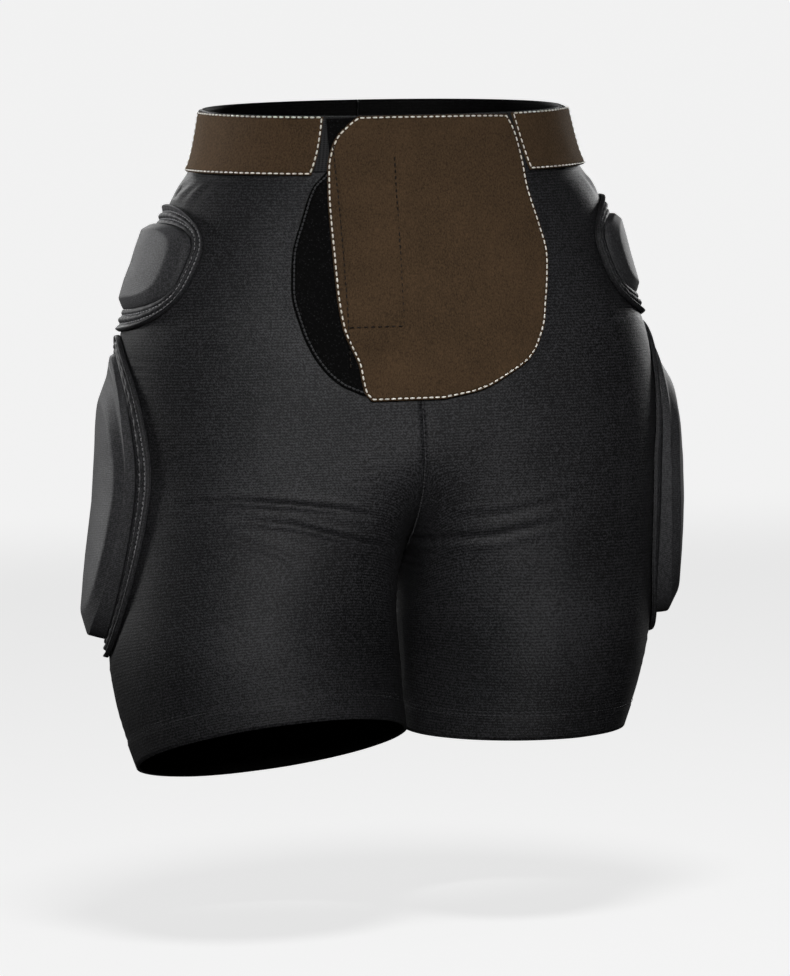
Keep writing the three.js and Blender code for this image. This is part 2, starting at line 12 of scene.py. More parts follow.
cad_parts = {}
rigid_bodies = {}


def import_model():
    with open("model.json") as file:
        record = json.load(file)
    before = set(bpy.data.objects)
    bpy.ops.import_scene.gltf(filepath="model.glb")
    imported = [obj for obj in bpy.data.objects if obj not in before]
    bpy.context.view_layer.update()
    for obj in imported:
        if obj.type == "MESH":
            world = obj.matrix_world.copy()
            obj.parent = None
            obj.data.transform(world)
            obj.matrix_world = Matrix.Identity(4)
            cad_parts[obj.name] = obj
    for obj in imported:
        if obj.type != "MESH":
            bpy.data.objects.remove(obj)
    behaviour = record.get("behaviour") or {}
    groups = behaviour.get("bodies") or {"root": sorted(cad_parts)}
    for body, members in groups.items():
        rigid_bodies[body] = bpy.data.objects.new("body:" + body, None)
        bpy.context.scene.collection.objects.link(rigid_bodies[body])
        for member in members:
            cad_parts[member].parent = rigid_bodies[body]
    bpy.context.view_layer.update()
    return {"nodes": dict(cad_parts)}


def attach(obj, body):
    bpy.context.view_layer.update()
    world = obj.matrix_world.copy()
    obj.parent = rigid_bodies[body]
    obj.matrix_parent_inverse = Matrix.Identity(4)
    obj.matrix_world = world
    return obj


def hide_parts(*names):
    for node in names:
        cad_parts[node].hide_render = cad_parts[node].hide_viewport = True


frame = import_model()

millimetre = 0.001
print("frame loaded:", len(frame["nodes"]), "nodes")


# Small sums that all the pieces share.
def mix(a, b, t):
    return a + (b - a) * t


def clamp(v, low=0.0, high=1.0):
    return min(high, max(low, v))


def smooth(low, high, v):
    t = clamp((v - low) / (high - low))
    return t * t * (3 - 2 * t)


def bump(distance, width):
    return math.exp(-(distance / width) ** 2)


def hermite(p0, m0, p1, m1, t):
    t2, t3 = t * t, t * t * t
    return p0 * (2 * t3 - 3 * t2 + 1) + m0 * (t3 - 2 * t2 + t) + p1 * (3 * t2 - 2 * t3) + m1 * (t3 - t2)


# The columns of a table of sections at one place along its first column.
def readTable(table, at):
    falling = table[1][0] < table[0][0]
    i = 0
    while i < len(table) - 2 and (at < table[i + 1][0] if falling else at > table[i + 1][0]):
        i += 1
    span = table[i + 1][0] - table[i][0]
    t = clamp((at - table[i][0]) / span)

    def slope(n, column):
        before, after = table[max(n - 1, 0)], table[min(n + 1, len(table) - 1)]
        return (after[column] - before[column]) / (after[0] - before[0]) * span

    return [hermite(table[i][k], slope(i, k), table[i + 1][k], slope(i + 1, k), t)
            for k in range(1, len(table[0]))]


# The camera's angles in degrees, its places in metres and its lens in millimetres.
cameraView = {"azimuth": -11.0, "elevation": 2.5, "roll": 1.9, "distance": 2.2, "target": (0, 0, -0.247),
              "lens": 124.84}


def placeCamera(view):
    turn, climb, roll = (math.radians(view[k]) for k in ("azimuth", "elevation", "roll"))
    back = Vector((math.sin(turn) * math.cos(climb), -math.cos(turn) * math.cos(climb), math.sin(climb)))
    right = Vector((math.cos(turn), math.sin(turn), 0))
    up = back.cross(right)
    across = right * math.cos(roll) - up * math.sin(roll)
    upright = right * math.sin(roll) + up * math.cos(roll)
    camera = bpy.data.objects.new("camera", bpy.data.cameras.new("camera"))
    place = Matrix((across, upright, back)).transposed().to_4x4()
    place.translation = Vector(view["target"]) + back * view["distance"]
    camera.matrix_world = place
    camera.data.lens = view["lens"]
    camera.data.clip_end = 50
    bpy.context.collection.objects.link(camera)
    bpy.context.scene.camera = camera


placeCamera(cameraView)
print("camera placed")


# An sRGB hex colour as linear values.
def linear(hexColour):
    parts = [int(hexColour[i:i + 2], 16) / 255 for i in (1, 3, 5)]
    return [c / 12.92 if c <= 0.04045 else ((c + 0.055) / 1.055) ** 2.4 for c in parts] + [1.0]


# Adds one node with its settings; inputs maps a socket to a value or to another node's output.
def addNode(tree, kind, inputs=None, **settings):
    node = tree.nodes.new(kind)
    for name, value in settings.items():
        setattr(node, name, value)
    for socket, value in (inputs or {}).items():
        if isinstance(value, bpy.types.NodeSocket):
            tree.links.new(value, node.inputs[socket])
        else:
            node.inputs[socket].default_value = value
    return node


def startMaterial(name, values):
    material = bpy.data.materials.new(name)
    material.use_nodes = True
    tree = material.node_tree
    shader = tree.nodes["Principled BSDF"]
    for socket, value in values.items():
        shader.inputs[socket].default_value = value
    return material, tree, shader


# Spreads two colours over a pattern, and raises a relief of a depth in millimetres where there is one.
def finishSurface(tree, shader, pattern, colours, spread=(0, 1), height=None, strength=0, depth=0, **settings):
    ramp = addNode(tree, "ShaderNodeValToRGB", {"Fac": pattern})
    for stop, colour, place in zip(ramp.color_ramp.elements, colours, spread):
        stop.color = linear(colour)
        stop.position = place
    tree.links.new(ramp.outputs["Color"], shader.inputs["Base Color"])
    if height is not None:
        relief = addNode(tree, "ShaderNodeBump", {"Height": height, "Strength": strength,
                                                  "Distance": depth * millimetre}, **settings)
        tree.links.new(relief.outputs["Normal"], shader.inputs["Normal"])


# The place on a cloth in millimetres, X along it and Y across it.
def clothPlace(tree):
    cloth = addNode(tree, "ShaderNodeUVMap", uv_map="cloth")
    return addNode(tree, "ShaderNodeSeparateXYZ", {"Vector": cloth.outputs["UV"]}).outputs


# A sine wave over a length in millimetres.
def sineOver(tree, length, pitch):
    turns = addNode(tree, "ShaderNodeMath", {0: length, 1: 2 * math.pi / pitch}, operation="MULTIPLY")
    return addNode(tree, "ShaderNodeMath", {0: turns.outputs[0]}, operation="SINE").outputs[0]


# Irregular fibre or blotches, with scale in waves for each metre.
def grain(tree, scale, detail=3.0, roughness=0.55, stretch=(1, 1, 1)):
    place = addNode(tree, "ShaderNodeTexCoord")
    sized = addNode(tree, "ShaderNodeMapping", {"Vector": place.outputs["Object"], "Scale": stretch})
    fibre = addNode(tree, "ShaderNodeTexNoise", {
        "Vector": sized.outputs["Vector"], "Scale": scale, "Detail": detail, "Roughness": roughness})
    return fibre.outputs["Fac"]


# Cells the size of a tuft or a hook, with scale in cells for each metre.
def cells(tree, scale, randomness):
    place = addNode(tree, "ShaderNodeTexCoord")
    return addNode(tree, "ShaderNodeTexVoronoi", {"Vector": place.outputs["Object"], "Scale": scale,
                                                  "Randomness": randomness}).outputs["Distance"]


# Sizes of the knit in millimetres, and shares of its patterns.
knit = {"wale": 1.6, "chevron": 0.6, "flank": 0.35, "fibre": 900, "patches": 14, "loopShare": 0.10,
        "patchShare": 0.2, "spread": (0.52, 0.76), "strength": 0.85, "roughness": 0.62}


# Loops of a knit: courses along the cloth, each lifted into a chevron at every wale.
def knitLoops(tree, course):
    place = clothPlace(tree)
    side = addNode(tree, "ShaderNodeMath", {0: place["X"], 1: knit["wale"] / 2}, operation="PINGPONG")
    lifted = addNode(tree, "ShaderNodeMath", {0: side.outputs[0], 1: knit["chevron"], 2: place["Y"]},
                     operation="MULTIPLY_ADD")
    ridge = addNode(tree, "ShaderNodeMapRange", {"Value": side.outputs[0], "From Max": knit["wale"] / 2,
                                                 "To Min": knit["flank"]})
    rows = sineOver(tree, lifted.outputs[0], course)
    return addNode(tree, "ShaderNodeMath", {0: rows, 1: ridge.outputs[0]}, operation="MULTIPLY")


# Nylon and elastane jersey, knitted fine and dyed: matt, with rows of loops and lint in relief; the loops'
# crowns are painted a little lighter as a painted highlight, and the lint speckles the colour.
# The real loops are 0.6 mm; they are drawn at 1.6 to 1.9 mm so that the render shows them.
def stretchKnit(name, dark, light, course, depth, gloss):
    material, tree, shader = startMaterial(name, {
        "Roughness": knit["roughness"], "IOR": 1.53, "Specular IOR Level": gloss})
    fine = grain(tree, knit["fibre"], detail=1.5, roughness=0.8)
    wide = grain(tree, knit["patches"], detail=1.0)
    loops = knitLoops(tree, course)
    # the loops' painted highlight together with the lint, used for both the colour and the relief
    loopHighlightAndLint = addNode(tree, "ShaderNodeMath", {0: loops.outputs[0], 1: knit["loopShare"], 2: fine},
                   operation="MULTIPLY_ADD")
    both = addNode(tree, "ShaderNodeMath", {0: wide, 1: knit["patchShare"], 2: loopHighlightAndLint.outputs[0]},
                   operation="MULTIPLY_ADD")
    finishSurface(tree, shader, both.outputs[0], (dark, light), knit["spread"], loopHighlightAndLint.outputs[0],
                  knit["strength"], depth)
    return material


elastic = {"rib": 2.2, "pick": 1.4, "pickShare": 0.5, "fibre": 1200, "patches": 20, "patchShare": 0.45,
           "colours": ("#070708", "#161617"), "spread": (0.5, 0.95), "strength": 0.7, "depth": 0.22}


# Woven polyester elastic with rubber cores: upright ribs and a slight shine on the crowns of the yarns.
def wovenElastic():
    material, tree, shader = startMaterial("polyester elastic, woven", {
        "Roughness": 0.7, "IOR": 1.55, "Specular IOR Level": 0.25, "Sheen Weight": 0.12,
        "Sheen Roughness": 0.4})
    place = clothPlace(tree)
    ribs, picks = sineOver(tree, place["X"], elastic["rib"]), sineOver(tree, place["Y"], elastic["pick"])
    weave = addNode(tree, "ShaderNodeMath", {0: picks, 1: elastic["pickShare"], 2: ribs},
                    operation="MULTIPLY_ADD")
    fine, wide = grain(tree, elastic["fibre"]), grain(tree, elastic["patches"], detail=1.0)
    both = addNode(tree, "ShaderNodeMath", {0: wide, 1: elastic["patchShare"], 2: fine},
                   operation="MULTIPLY_ADD")
    finishSurface(tree, shader, both.outputs[0], elastic["colours"], elastic["spread"], weave.outputs[0],
                  elastic["strength"], elastic["depth"])
    return material


fleece = {"nap": 900, "lie": (1.3, 1.0, 0.8), "blotch": 30, "blotchShare": 0.22,
          "colours": ("#2c2217", "#4a3928"), "spread": (0.45, 0.78), "strength": 0.6, "depth": 0.6}


# Polyester fleece, brushed and pressed: a short brown nap, speckled, with faint marks where it was stroked.
# The fibres are far finer than a pixel and are drawn about 1 mm long.
def brushedFleece():
    material, tree, shader = startMaterial("polyester fleece, brushed", {
        "Roughness": 0.95, "IOR": 1.5, "Specular IOR Level": 0.1, "Sheen Weight": 0.12, "Sheen Roughness": 0.6,
        "Sheen Tint": linear("#a08a70")})
    nap = grain(tree, fleece["nap"], roughness=0.75, stretch=fleece["lie"])
    blotch = grain(tree, fleece["blotch"], roughness=0.5)
    both = addNode(tree, "ShaderNodeMath", {0: blotch, 1: fleece["blotchShare"], 2: nap},
                   operation="MULTIPLY_ADD")
    finishSurface(tree, shader, both.outputs[0], fleece["colours"], fleece["spread"], nap, fleece["strength"],
                  fleece["depth"])
    return material


plush = {"tufts": 620, "fibre": 1500, "colours": ("#020202", "#2c2c2d"), "spread": (0.2, 0.7), "strength": 0.8,
         "depth": 0.7}


# Nylon loop plush for a hook fastener, napped: deep black, with the tips of the loops painted pale as specks, a
# painted highlight that follows the relief.
def loopPlush():
    material, tree, shader = startMaterial("nylon loop plush, napped", {
        "Roughness": 0.95, "IOR": 1.53, "Specular IOR Level": 0.1})
    tufts, fibre = cells(tree, plush["tufts"], 1.0), grain(tree, plush["fibre"])
    height = addNode(tree, "ShaderNodeMath", {0: fibre, 1: tufts}, operation="SUBTRACT").outputs[0]
    # the same height lightens the colour on the tufts: painted highlight
    finishSurface(tree, shader, height, plush["colours"], plush["spread"], height, plush["strength"],
                  plush["depth"])
    return material


# Moulded nylon hook tape: a firm base with rows of small hooks, a little glossy.
def hookTape():
    material, tree, shader = startMaterial("nylon hook tape, moulded", {
        "Roughness": 0.45, "IOR": 1.53, "Specular IOR Level": 0.4})
    hooks = cells(tree, 560, 0.25)
    finishSurface(tree, shader, hooks, ("#232323", "#0b0b0b"), (0, 1), hooks, 0.9, 0.6, invert=True)
    return material


thread = {"twist": 0.7, "slant": 1.4, "strength": 0.5, "depth": 0.15}


# Spun polyester sewing thread: two plies wound round each other, painted lighter on their crowns and darker
# between them, a painted highlight and painted shade on each stitch.
def sewingThread(name, dark, light, roughness):
    material, tree, shader = startMaterial(name, {
        "Roughness": roughness, "IOR": 1.55, "Specular IOR Level": 0.15})
    place = clothPlace(tree)
    slant = addNode(tree, "ShaderNodeMath", {0: place["Y"], 1: thread["slant"], 2: place["X"]},
                    operation="MULTIPLY_ADD")
    plies = sineOver(tree, slant.outputs[0], thread["twist"])
    # the ply wave as colour: painted highlight on the crowns, painted shade in the grooves
    shade = addNode(tree, "ShaderNodeMapRange", {"Value": plies, "From Min": -1.0}).outputs[0]
    finishSurface(tree, shader, shade, (dark, light), (0, 1), shade, thread["strength"], thread["depth"])
    return material


# name, dark and light colour, course and relief in millimetres, gloss
knitCloth = stretchKnit("nylon elastane jersey, knitted", "#050506", "#2e2e30", 1.9, 0.35, 0.2)
# The inner face is the same jersey painted near black: painted shade for the inside of the shorts.
shadedInnerCloth = stretchKnit("nylon elastane jersey, inner face", "#020202", "#0b0b0b", 1.9, 0.35, 0.03)
padCloth = stretchKnit("spandex pad cover, laminated on foam", "#232324", "#3c3c3e", 1.6, 0.15, 0.1)
borderCloth = stretchKnit("warp knit pad frame, quilted", "#121213", "#2c2c2e", 1.7, 0.25, 0.15)
elasticCloth = wovenElastic()
fleeceCloth = brushedFleece()
plushCloth = loopPlush()
hookCloth = hookTape()
whiteThread = sewingThread("spun polyester thread, white", "#b9b5ac", "#f4f1ea", 0.6)
greyThread = sewingThread("spun polyester thread, faded black", "#4c4c4e", "#8a8a8c", 0.7)
charcoalThread = sewingThread("spun polyester thread, charcoal", "#1c1c1d", "#48484a", 0.75)
brownThread = sewingThread("spun polyester thread, brown", "#0a0704", "#1d150d", 0.6)
print("materials made")


# One object of quads or triangles. uvs is a list of corner places in millimetres, face by face.
def makeObject(name, points, faces, material, uvs=None):
    mesh = bpy.data.meshes.new(name)
    mesh.from_pydata([Vector(p) * millimetre for p in points], [], faces)
    if uvs:
        corners = [value for face in uvs for corner in face for value in corner]
        mesh.uv_layers.new(name="cloth").data.foreach_set("uv", corners)
    mesh.polygons.foreach_set("use_smooth", [True] * len(mesh.polygons))
    if material:
        mesh.materials.append(material)
    mesh.update()
    piece = bpy.data.objects.new(name, mesh)
    bpy.context.collection.objects.link(piece)
    return piece


# Rounds a coarse piece with a subdivision surface and gives back its plain mesh.
def refine(piece, levels):
    surface = piece.modifiers.new("rounding", "SUBSURF")
    surface.levels = surface.render_levels = levels
    surface.boundary_smooth = "PRESERVE_CORNERS"
    surface.uv_smooth = "PRESERVE_BOUNDARIES"
    graph = bpy.context.evaluated_depsgraph_get()
    fine = bpy.data.meshes.new_from_object(piece.evaluated_get(graph))
    bpy.data.objects.remove(piece)
    return fine


def dress(piece, slot, *nodes):
    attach(piece, "root")
    if nodes:
        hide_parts(*nodes)
    return piece


# The body's form is a trunk, a crotch and two legs. Swells are a place round the side and a width, ease is what
# evens out the fork: shares, heights and rounds, and the pitches lay the cloth out between the form's lines.
body = {
    "forkZ": -226, "columns": 26, "crotchColumns": 10, "crotchShare": math.radians(50),
    "seamGap": 0.3, "wall": 2.0, "upperRings": 6, "lowerRings": 3, "thighSwell": (0.24, 0.12),
    "seatSwell": (0.78, 0.13), "easeShare": 0.5, "easeTop": (-205, -235), "easeFoot": (-310, -345),
    "easeRounds": 8, "columnPitch": 17, "upperPitch": 18.5, "lowerPitch": 24, "rayStart": 400,
    "beltStart": 60,
}
# how a leg starts at the fork: its spread under the crotch, how far it runs on from the trunk, and its opening
fork = {"crotchSpread": (5, 45), "spreadPower": 1.5, "probe": 12, "run": 7, "middle": 0.16, "opening": 45,
        "easing": 0.4}
# z: half width, sway, front, back, swell of the thighs and of the seat, lift of the back, squareness
trunk = [
    (0, 117, 0, 87, 87, 0, 0, 0.13, 2.15),
    (-38, 125.5, 0, 91, 93, 0, 0, 0.10, 2.2),
    (-48, 133.5, 0, 92.5, 96, 0, 0, 0.09, 2.2),
    (-62, 141, -0.5, 95, 99, 0, 2, 0.07, 2.25),
    (-105, 155.5, -3.5, 100, 109, 0, 6, 0.04, 2.3),
    (-140, 170.5, -5, 103, 114, 0, 10, 0.02, 2.3),
    (-180, 174.5, -1.5, 104.5, 113, 1, 13, 0.01, 2.3),
    (-226, 176.5, 0, 104, 104, 3, 14, 0, 2.3),
]
trunkRows = [0, -20, -38, -48, -60, -78, -98, -118, -138, -156, -174, -192, -209, -226]
crotch = [Vector((0, y, z)) for y, z in (
    (-104, -226), (-88, -250), (-55, -273), (-10, -290), (36, -288), (76, -264), (104, -226))]
# centre x, y and z, half width, half depth, climb to the back and climb to the wearer's left
legs = {
    -1: [(-98.5, -12, -336, 94, 97, -0.17, 0.03), (-90.5, -24, -409.5, 87, 85, -0.29, 0.07)],
    1: [(82.5, 0, -336, 84, 93, -0.02, -0.02), (73, -2, -404.5, 72.5, 81, 0.025, -0.01)],
}
# broad creases pressed in by the thighs: ends in x and z, sag, depth and width
creases = [
    (-146, -248, -34, -260, 3, 2.2, 8),
    (-112, -262, -20, -282, 3, 2.2, 8),
    (4, -281, 84, -270, -4, 1.6, 8),
]
frontY = -20  # cloth before this place counts as the front


def trunkPoint(side, turn, z, gap):
    halfWidth, sway, front, back, thigh, seat, lift, square = readTable(trunk, z)
    angle = math.pi * turn
    across = max(math.sin(angle), 0) ** (2 / square)
    along = abs(math.cos(angle)) ** (2 / square)
    front += thigh * bump(turn - body["thighSwell"][0], body["thighSwell"][1])
    back += seat * bump(turn - body["seatSwell"][0], body["seatSwell"][1])
    y = -front * along if math.cos(angle) > 0 else back * along
    return Vector((side * (gap / 2 + (halfWidth - gap / 2) * across) + sway, y, z + lift * y))


# Centripetal curve through the crotch seam's points.
def crotchPoint(side, share, gap):
    points = [crotch[0] * 2 - crotch[1], *crotch, crotch[-1] * 2 - crotch[-2]]
    at = clamp(share) * (len(crotch) - 1)
    i = min(int(at), len(crotch) - 2)
    p0, p1, p2, p3 = points[i:i + 4]
    d0, d1, d2 = ((b - a).length ** 0.5 for a, b in ((p0, p1), (p1, p2), (p2, p3)))
    start = ((p1 - p0) / d0 - (p2 - p0) / (d0 + d1) + (p2 - p1) / d1) * d1
    end = ((p2 - p1) / d1 - (p3 - p1) / (d1 + d2) + (p3 - p2) / d2) * d1
    point = hermite(p1, start, p2, end, at - i)
    point.x = side * gap / 2
    return point


def legPoint(side, section, theta):
    x, y, z, halfWidth, halfDepth, pitch, roll = section
    dx, dy = -side * halfWidth * math.cos(theta), -halfDepth * math.sin(theta)
    return Vector((x + dx, y + dy, z + pitch * dy + roll * dx))


# The start of a leg's column at the fork: downwards, and opening sideways near the middle plane.
def legStart(side, turn, share, outer, gap):
    if not outer:
        return Vector((side * mix(*fork["crotchSpread"], abs(2 * share - 1) ** fork["spreadPower"]), 0, 0))
    above = trunkPoint(side, turn, body["forkZ"] + fork["probe"], gap)
    start = (trunkPoint(side, turn, body["forkZ"], gap) - above) * fork["run"]
    near = 1 - smooth(0, fork["middle"], min(turn, 1 - turn))
    start.x += side * fork["opening"] * near
    start.z *= 1 - fork["easing"] * near
    return start


def legRings(side, gap):
    thigh, hem = legs[side]
    upper, lower = body["upperRings"], body["lowerRings"]
    rings = [[] for _ in range(upper + lower)]
    outerArc = 2 * math.pi - 2 * body["crotchShare"]
    for c in range(body["columns"] + body["crotchColumns"]):
        outer = c <= body["columns"]
        turn = min(c / body["columns"], 1)
        share = 1 - (c - body["columns"]) / body["crotchColumns"]
        theta = (body["crotchShare"] + outerArc * turn if outer
                 else -body["crotchShare"] + 2 * body["crotchShare"] * (1 - share))
        top = trunkPoint(side, turn, body["forkZ"], gap) if outer else crotchPoint(side, share, gap)
        middle, bottom = legPoint(side, thigh, theta), legPoint(side, hem, theta)
        passing = (bottom - top) * 0.5
        finish = (bottom - middle) * 1.5 - passing * 0.5
        start = legStart(side, turn, share, outer, gap)
        for r in range(1, upper + 1):
            rings[r - 1].append(hermite(top, start, middle, passing, r / upper))
        for r in range(1, lower + 1):
            rings[upper + r - 1].append(hermite(middle, passing, bottom, finish, r / lower))
    return rings


# The outer skin of one half: points, quads, corner places on the cloth, and the points on the middle plane.
def skin(side, gap):
    columns, crotchColumns = body["columns"], body["crotchColumns"]
    points, quads, uvs, middle = [], [], [], set()
    rows = []
    for z in trunkRows:
        rows.append([len(points) + c for c in range(columns + 1)])
        points.extend(trunkPoint(side, c / columns, z, gap) for c in range(columns + 1))
        middle.update((rows[-1][0], rows[-1][-1]))

    def sew(upper, lower, closed, above, below):
        steps = len(upper) if closed else len(upper) - 1
        for c in range(steps):
            n = (c + 1) % len(upper)
            quad = [upper[c], lower[c], lower[n], upper[n]]
            here, there = c * body["columnPitch"], (c + 1) * body["columnPitch"]
            places = [(here, above), (here, below), (there, below), (there, above)]
            quads.append(quad if side > 0 else quad[::-1])
            uvs.append(places if side > 0 else places[::-1])

    for r in range(len(rows) - 1):
        sew(rows[r], rows[r + 1], False, trunkRows[r], trunkRows[r + 1])
    seam = []
    for k in range(1, crotchColumns):
        seam.append(len(points))
        points.append(crotchPoint(side, 1 - k / crotchColumns, gap))
    middle.update(seam)
    upper = [*rows[-1], *seam]
    above = trunkRows[-1]
    for r, ring in enumerate(legRings(side, gap)):
        lower = [len(points) + c for c in range(len(ring))]
        points.extend(ring)
        below = above - (body["upperPitch"] if r < body["upperRings"] else body["lowerPitch"])
        sew(upper, lower, True, above, below)
        upper, above = lower, below
    held = middle | set(rows[0]) | set(upper)
    relax(points, quads, held)
    for point in points:
        pressCreases(point)
    return points, quads, uvs, middle


# Evens out the fork, where the trunk's columns turn into the leg's.
def relax(points, quads, held):
    near = [set() for _ in points]
    for quad in quads:
        for i, a in enumerate(quad):
            near[a].update((quad[(i + 1) % 4], quad[(i + 3) % 4]))
    shares = [0 if i in held else
              body["easeShare"] * smooth(*body["easeTop"], p.z) * (1 - smooth(*body["easeFoot"], p.z))
              for i, p in enumerate(points)]
    for _ in range(body["easeRounds"]):
        means = [sum((points[n] for n in near[i]), Vector()) / len(near[i]) for i in range(len(points))]
        points[:] = [p.lerp(m, s) for p, m, s in zip(points, means, shares)]


def pressCreases(point):
    if point.y > frontY:
        return
    for fromX, fromZ, toX, toZ, sag, depth, width in creases:
        t = (point.x - fromX) / (toX - fromX)
        if 0 <= t <= 1:
            line = mix(fromZ, toZ, t) + sag * 4 * t * (1 - t)
            point.y += depth * math.sin(math.pi * t) * bump(point.z - line, width)


# The whole form without the seam's gap, as a tree of faces for rays.
def bodyForm():
    points, faces, place = [], [], {}
    for side in (-1, 1):
        own, quads, _, _ = skin(side, 0)
        index = []
        for p in own:
            key = tuple(round(v, 2) for v in p)
            if key not in place:
                place[key] = len(points)
                points.append(p)
            index.append(place[key])
        faces.extend([index[i] for i in quad] for quad in quads)
    mesh = refine(makeObject("form", points, faces, None), 2)
    corners = [v.co / millimetre for v in mesh.vertices]
    normals = [v.normal.copy() for v in mesh.vertices]
    polygons = [tuple(p.vertices) for p in mesh.polygons]
    bpy.data.meshes.remove(mesh)
    return BVHTree.FromPolygons(corners, polygons), corners, normals, polygons


formTree, formCorners, formNormals, formFaces = bodyForm()


# Where a ray meets the form, with the smooth normal there that faces the ray.
def meet(origin, direction):
    for nudge in (0, 0.05, -0.05):
        hit, _, index, _ = formTree.ray_cast(origin + Vector((nudge, 0, nudge)), direction)
        if hit:
            face = formFaces[index]
            weights = poly_3d_calc([formCorners[i] for i in face], hit)
            normal = sum((formNormals[i] * w for i, w in zip(face, weights)), Vector()).normalized()
            return hit, -normal if normal.dot(direction) > 0 else normal
    raise ValueError(f"nothing under {origin}")


def fromFront(x, z):
    return meet(Vector((x, -body["rayStart"], z)), Vector((0, 1, 0)))


def fromSide(side, y, z):
    return meet(Vector((side * body["rayStart"], y, z)), Vector((-side, 0, 0)))


# A spot of the belt: turn from the front centre round one side, and depth below the waist rim.
def fromBelt(side, turn, depth):
    on = trunkPoint(side, turn, -depth, 0)
    away = Vector((on.x, on.y, 0)).normalized()
    return meet(on + away * body["beltStart"], -away)


# A spot on a leg, cast from its middle: theta round the leg and height above the hem.
def fromLeg(side, theta, height):
    x, y, z, halfWidth, halfDepth, pitch, roll = legs[side][1]
    dx, dy = -side * halfWidth * math.cos(theta), -halfDepth * math.sin(theta)
    direction = Vector((dx, dy, pitch * dy + roll * dx)).normalized()
    hit, normal = meet(Vector((x, y, z + height)), direction)
    return hit, -normal


print("body form ready")


# The knitted shorts. flat is the cut of one half in metres: a panel that wraps the leg from the front seam to
# the back seam. Heights and sizes of the relief are in millimetres.
shortsCloth = {
    "undulation": 1.0, "undulationSize": 62, "crumple": 0.4, "crumpleSize": 23, "seamReach": 16,
    "seamTop": -192, "seamFoot": -300, "flat": (0.56, 0.43), "flatArea": 0.205,
}
valleyShape = {"ridge": 0.45, "ridgeAway": 2.2, "ridgeWidth": 1.4, "reach": 6, "ends": (0.03, 0.97),
               "fade": 0.6, "nearX": 20, "nearZ": 50, "beltZ": -70}
ripples = {"height": 0.45, "pitch": 5.6, "padFade": 0.45, "frontZ": -240, "frontWidth": 34,
           "frontEase": (0, 30), "patch": 38, "patchEase": (-0.15, 0.45), "waver": 5, "waverSize": 30}
seamShape = {"groove": 0.6, "width": 1.5, "level": -0.1, "pucker": 0.2, "puckerPitch": 6.0, "puckerAway": 3}
hem = {"height": 17, "step": 0.5, "stepEase": (-0.5, 1.5), "groove": 0.45, "grooveWidth": 1.2,
       "rows": (-1.2, 1.2), "samples": 240, "pitch": 3.4, "length": 2.3, "thread": 0.6, "lift": 0.05,
       "level": -0.1}
# what covers the cloth: the belt by height, the front pieces down to their foot, and the pads by their outline
cover = {"belt": (-50, -42), "foot": -190, "low": -200, "frontEase": (-7, -1), "sideX": 60,
         "padEase": (1.0, 1.07)}
# valleys in the front of the cloth: points as x and z, depth and width
valleys = [
    ([(-150, -249), (-115, -248), (-84, -251), (-55, -255), (-34, -260)], 2.6, 1.9),
    ([(-120, -259), (-83, -264), (-55, -272), (-34, -278), (-20, -281)], 2.2, 2.0),
    ([(-5, -278), (16, -277), (42, -276), (64, -272), (86, -268)], 1.6, 2.0),
    ([(-142, -268), (-118, -272), (-96, -279), (-78, -289)], 1.1, 2.2),
    ([(20, -263), (48, -262), (78, -257), (104, -249)], 0.8, 2.2),
    ([(-128, -45), (-136, -52), (-143, -60)], 1.4, 1.6),
    ([(-121, -44), (-131, -53), (-139, -62)], 1.0, 1.5),
    ([(-112, -43), (-124, -53), (-133, -63)], 0.7, 1.6),
    ([(127, -44), (133, -52), (138, -60)], 1.2, 1.6),
    ([(119, -43), (127, -53), (133, -62)], 0.7, 1.6),
]
panelEdges = [
    (-12.8, -51, 58), (-44, -52, 66), (-56, -62.5, 69), (-77, -71, 74), (-93, -76.5, 78), (-109, -78.5, 80),
    (-124, -79, 79), (-138, -76, 76), (-153, -71, 73), (-167, -63, 63), (-178, -52, 44), (-185, -38, 24),
]
flapEdges = [
    (-12.6, -32, 61), (-17, -38, 63.5), (-25, -45.5, 67), (-39, -51, 70), (-51, -52.5, 72), (-65, -53.5, 75),
    (-81, -53.5, 79.5), (-98, -53, 83.5), (-114, -52.5, 83), (-130, -51.5, 81), (-147, -48.5, 78),
    (-165, -41, 68.5), (-176, -39, 52), (-184, -37, 35), (-188.5, -33, 12),
]
# pad frames: centre, and for the outer and the inner outline half depth, half height, and how square the top
# and the bottom are
hipPad = {"y": 6, "z": -100, "outer": (67.5, 40, 2.3, 3.4), "inner": (60.5, 27, 3.2, 4.4)}
thighPad = {"y": 8, "z": -245, "outer": (55, 103, 2.1, 3.0), "inner": (41.5, 92, 2.1, 3.0)}


# How far out a place on the side is against a pad frame's outline: 1 on it.
def padReach(pad, point):
    halfDepth, halfHeight, top, bottom = pad["outer"]
    power = top if point.z > pad["z"] else bottom
    return (abs((point.y - pad["y"]) / halfDepth) ** power
            + abs((point.z - pad["z"]) / halfHeight) ** power) ** (1 / power)


# 1 where the cloth lies free, 0 under the belt, the front panel and the pads.
def openCloth(point):
    lift = readTable(trunk, max(point.z, body["forkZ"]))[6]
    belt = 1 - smooth(*cover["belt"], point.z - lift * point.y)
    front = 1.0
    if point.y < frontY and point.z > cover["low"]:
        left, right = readTable(panelEdges, point.z)
        flapRight = readTable(flapEdges, point.z)[1]
        inside = min(point.x - left, max(right, flapRight) - point.x, point.z - cover["foot"])
        front = 1 - smooth(*cover["frontEase"], inside)
    sides = 1.0
    if abs(point.x) > cover["sideX"]:
        sides = min(smooth(*cover["padEase"], padReach(pad, point)) for pad in (hipPad, thighPad))
    return belt * front * sides


def nearestOnLine(line, x, z):
    best, along = 1e9, 0
    for i, ((ax, az), (bx, bz)) in enumerate(zip(line, line[1:])):
        dx, dz = bx - ax, bz - az
        t = clamp(((x - ax) * dx + (z - az) * dz) / (dx * dx + dz * dz))
        away = math.hypot(x - ax - dx * t, z - az - dz * t)
        if away < best:
            best, along = away, (i + t) / (len(line) - 1)
    return best, along


